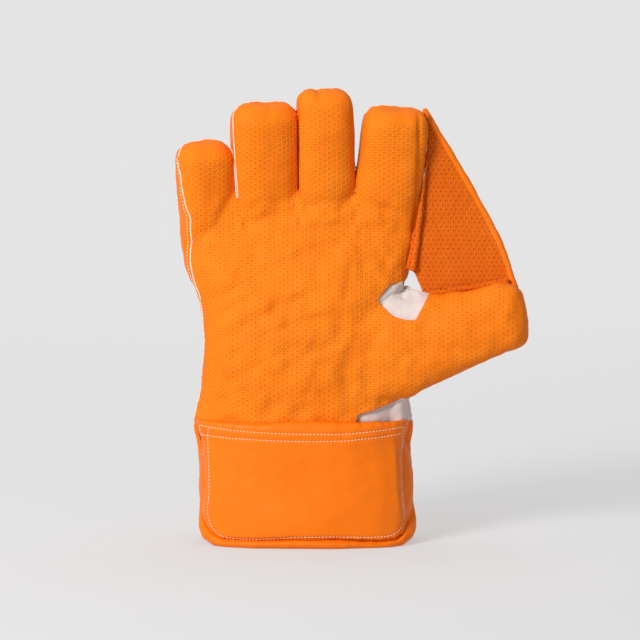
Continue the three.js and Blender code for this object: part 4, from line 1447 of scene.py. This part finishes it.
class GLOVE_OT_cuff(bpy.types.Operator):
    """Makes the cuff's padded panels, bands and rolls"""
    bl_idname = "glove.cuff"
    bl_label = "Rolled cuff"

    def execute(self, context):
        leather = smooth_leather("cuff_leather", colours().leather, rough=0.4, creasing=0.6 * MM)
        seams = [("cuff seam", row, 0.9, 0.45) for row in (*BAND_ROWS[:2], PANEL_ROW)]
        for side, towards in (("front", -1), ("back", 1)):
            panel = [f"cuff_{side}_panel", f"cuff_{side}_band"]
            bm = grown(remeshed(node_copy(*panel), sizes().pad_voxel, 1), 0.7 * MM)
            bm = swollen(bm, sizes().pad_rise)
            bm = with_modifiers(bm, ("SUBSURF", {"levels": 2, "render_levels": 2}))
            unevened(bm, *PANEL_WAVES)
            self.lapped(bm, towards, "panel")
            fold(bm, seams, towards=towards)
            finish_piece(bm, f"padded_cuff_{side}", leather, panel)
            roll = f"cuff_{side}_roll"
            bm = grown(remeshed(node_copy(roll), 0.9 * MM, 8), 0.9 * MM)
            self.lapped(unevened(bm, *ROLL_WAVES), towards, "roll")
            finish_piece(bm, f"padded_cuff_{side}_roll", leather, [roll])
        return {"FINISHED"}

    def lapped(self, bm, towards, part):
        """Brings a panel over the hand above it and over the roll round it, with a deep groove between."""
        is_panel = part == "panel"
        bottom, top = WAIST_HEIGHTS
        for vertex in bm.verts:
            height = vertex.co.z / MM
            aside = abs(vertex.co.x - MIDDLE.x) / MM
            low = float(smoothstep(height, *FOOT_HEIGHTS)) if is_panel else 0
            high = float(smoothstep(height, *TOP_HEIGHTS))
            vertex.co.z += ((PANEL_RISE if is_panel else ROLL_RISE) * high - FOOT_DROP * low) * MM
            vertex.co.y += towards * (FOOT_LEAN * low + TOP_LEAN * high) * MM
            share = min(max((vertex.co.z / MM - bottom) / (top - bottom), 0), 1)
            inward = WAIST * math.sin(math.pi * share) ** 1.5 if is_panel else 0
            inward *= float(smoothstep(aside, *WAIST_FROM_MIDDLE))
            vertex.co.x += math.copysign((TOP_WIDER * high - inward) * MM, vertex.co.x - MIDDLE.x)
        inside = within(GROOVE, places_of(bm), CUFF_FRONT) / MM
        if is_panel:
            shifts = PANEL_BULGE * smoothstep(inside, 0, 3.0) - GROOVE_DEEP * smoothstep(-inside, -0.4, 1.6)
        else:
            shifts = -GROOVE_DEEP * smoothstep(inside, -1.2, 1.0)
        for vertex, shift in zip(bm.verts, shifts):
            if vertex.co.y * towards > 0:
                vertex.co.y += towards * shift * MM
            vertex.co.z = max(vertex.co.z, HEM_CLEARANCE)


class GLOVE_OT_stitches(bpy.types.Operator):
    """Sews the rows of pale stitches"""
    bl_idname = "glove.stitches"
    bl_label = "Stitches"

    def execute(self, context):
        bm = bmesh.new()
        for side, towards in (("front", -1), ("back", 1)):
            cuff = tree_of_pieces(f"padded_cuff_{side}")
            for row in (*BAND_ROWS, PANEL_ROW):
                for run in on_surface(cuff, row, CUFF_FRONT, towards):
                    add_stitches(bm, run, cuff)
        back = tree_of_pieces("leather_back")
        side = tree_of(the_hand().surface)
        for points, closed in the_hand().seam_lines():
            line = beside(side, evened(points, closed, SEAM_STEP, passes=4), closed, SIDE_STITCH_OFFSET)
            for run in self.outer_runs(line):
                add_stitches(bm, evened(run, False, SEAM_STEP), side)
        for shift in (-KNUCKLE_SPACING, KNUCKLE_SPACING):
            row = [(column, KNUCKLE_ROW + shift) for column in KNUCKLE_ENDS]
            for run in on_surface(back, row, PALM_FRONT, 1):
                add_stitches(bm, run, back)
        finish_piece(bm, "pale_stitches", twisted_thread("waxed_thread"))
        return {"FINISHED"}

    def outer_runs(self, line):
        """The runs of a seam down the hand's outer sides, clear of the fingertips and the gaps."""
        hand = the_hand()
        left_end = hand.fingers["little"].origin.x
        highest = from_photo(0, SIDE_STITCH_ROW)[1]
        runs = [[]]
        for point in line:
            if point.z < hand.crotch - 10 * MM or (point.x < left_end and point.z < highest):
                runs[-1].append(point)
            elif runs[-1]:
                runs.append([])
        return [run for run in runs if len(run) > 8]


class GLOVE_OT_stage(bpy.types.Operator):
    """Sets the pale floor, the soft lights and the camera"""
    bl_idname = "glove.stage"
    bl_label = "Stage"

    LENS = 180.0
    SENSOR = 36.0
    FLOOR_REACH = 3.0
    BEND_START = 1.6
    BEND_RADIUS = 1.2
    BEND_STEPS = 12
    WALL_TOP = 2.6
    LIGHTS = (("key", (-1.05, -1.45, 0.98), 0.6, 39.0), ("top", (0.1, 0.3, 1.6), 1.0, 6.0))
    WORLD_STRENGTH = 0.4

    def execute(self, context):
        scene = context.scene
        scene.view_settings.view_transform = "Standard"
        distance = PHOTO_SIZE * PIXEL * self.LENS / self.SENSOR
        depth = HEM_FRONT / 2
        across, height = from_photo(PHOTO_SIZE / 2, PHOTO_SIZE / 2, depth)
        target = Vector((across, depth, height))
        back = Vector((0, -math.cos(CAMERA_RISE), math.sin(CAMERA_RISE)))
        lens = bpy.data.cameras.new("camera")
        lens.lens = self.LENS
        lens.sensor_width = self.SENSOR
        camera = placed("camera", lens)
        camera.location = target + back * distance
        camera.rotation_euler = (-back).to_track_quat("-Z", "Y").to_euler()
        scene.camera = camera
        self.add_floor()
        self.add_lights(target)
        return {"FINISHED"}

    def add_floor(self):
        """A floor that bends up into a backdrop: one front edge, extruded from place to place."""
        bm = bmesh.new()
        reach, bend = self.FLOOR_REACH, self.BEND_RADIUS
        ends = [bmesh.ops.create_vert(bm, co=(across, -reach, 0))["vert"][0] for across in (-reach, reach)]
        run = [bm.edges.new(ends)]
        places = []
        for step in range(self.BEND_STEPS + 1):
            angle = step * math.pi / 2 / self.BEND_STEPS
            places.append(Vector((0, self.BEND_START + bend * math.sin(angle), bend * (1 - math.cos(angle)))))
        places.append(Vector((0, self.BEND_START + bend, self.WALL_TOP)))
        at = Vector((0, -reach, 0))
        for place in places:
            made = bmesh.ops.extrude_edge_only(bm, edges=run)["geom"]
            moved = [item for item in made if isinstance(item, bmesh.types.BMVert)]
            bmesh.ops.translate(bm, verts=moved, vec=place - at)
            at = place
            run = [item for item in made if isinstance(item, bmesh.types.BMEdge)
                   and all(vertex in moved for vertex in item.verts)]
        bmesh.ops.recalc_face_normals(bm, faces=bm.faces)
        floor = placed("floor", mesh_of(bm, "floor"))
        coated(floor.data, self.floor_finish())
        floor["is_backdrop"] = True

    def floor_finish(self):
        """Matt grey that glows a little more towards the backdrop, as a lit studio does."""
        finish = Finish("pale_floor")
        place = finish.node("ShaderNodeSeparateXYZ", None, {0: finish.place()})
        depth = ((Value(finish, place.outputs["Y"]) + 0.3) / 1.9).most(0.0).least(1.0)
        glow = finish.mixed(depth, tinted(colours().near_glow, 1), tinted(colours().far_glow, 1))
        return finish.shade(
            Base_Color=tinted(colours().floor, 1),
            Roughness=0.9,
            Specular_IOR_Level=0.0,
            Emission_Color=glow,
            Emission_Strength=1.0,
        )

    def add_lights(self, target):
        for name, place, size, power in self.LIGHTS:
            light = bpy.data.lights.new(name, "AREA")
            light.size = size
            light.energy = power
            lamp = placed(name, light)
            lamp.location = place
            lamp.rotation_euler = (target - Vector(place)).to_track_quat("-Z", "Y").to_euler()
        world = bpy.data.worlds.new("studio")
        world.use_nodes = True
        background = world.node_tree.nodes["Background"].inputs
        background["Color"].default_value = (1, 1, 1, 1)
        background["Strength"].default_value = self.WORLD_STRENGTH
        bpy.context.scene.world = world


class GLOVE_PT_panel(bpy.types.Panel):
    """Lists the glove's pieces"""
    bl_idname = "GLOVE_PT_panel"
    bl_label = "Wicketkeeping glove"
    bl_space_type = "VIEW_3D"
    bl_region_type = "UI"
    bl_category = "Glove"

    def draw(self, context):
        for operator in OPERATORS:
            self.layout.operator(operator.bl_idname)
        for group in (context.scene.glove_sizes, context.scene.glove_colours):
            for name in group.__annotations__:
                self.layout.prop(group, name)


OPERATORS = (
    GLOVE_OT_facing,
    GLOVE_OT_backs,
    GLOVE_OT_welts,
    GLOVE_OT_gussets,
    GLOVE_OT_web,
    GLOVE_OT_cuff,
    GLOVE_OT_stitches,
    GLOVE_OT_stage,
)
CLASSES = (GloveSizes, GloveColours, *OPERATORS, GLOVE_PT_panel)


def register():
    for made in CLASSES:
        bpy.utils.register_class(made)
    bpy.types.Scene.glove_sizes = PointerProperty(type=GloveSizes)
    bpy.types.Scene.glove_colours = PointerProperty(type=GloveColours)


def unregister():
    del bpy.types.Scene.glove_colours
    del bpy.types.Scene.glove_sizes
    for made in reversed(CLASSES):
        bpy.utils.unregister_class(made)


def corners(box):
    return [list(corner) for corner in box]


def main():
    register()
    for operator in OPERATORS:
        group, name = operator.bl_idname.split(".")
        getattr(getattr(bpy.ops, group), name)()
    {"cad": corners(CAD_BOX), "visual": corners(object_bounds())}


if __name__ == "__main__":
    main()
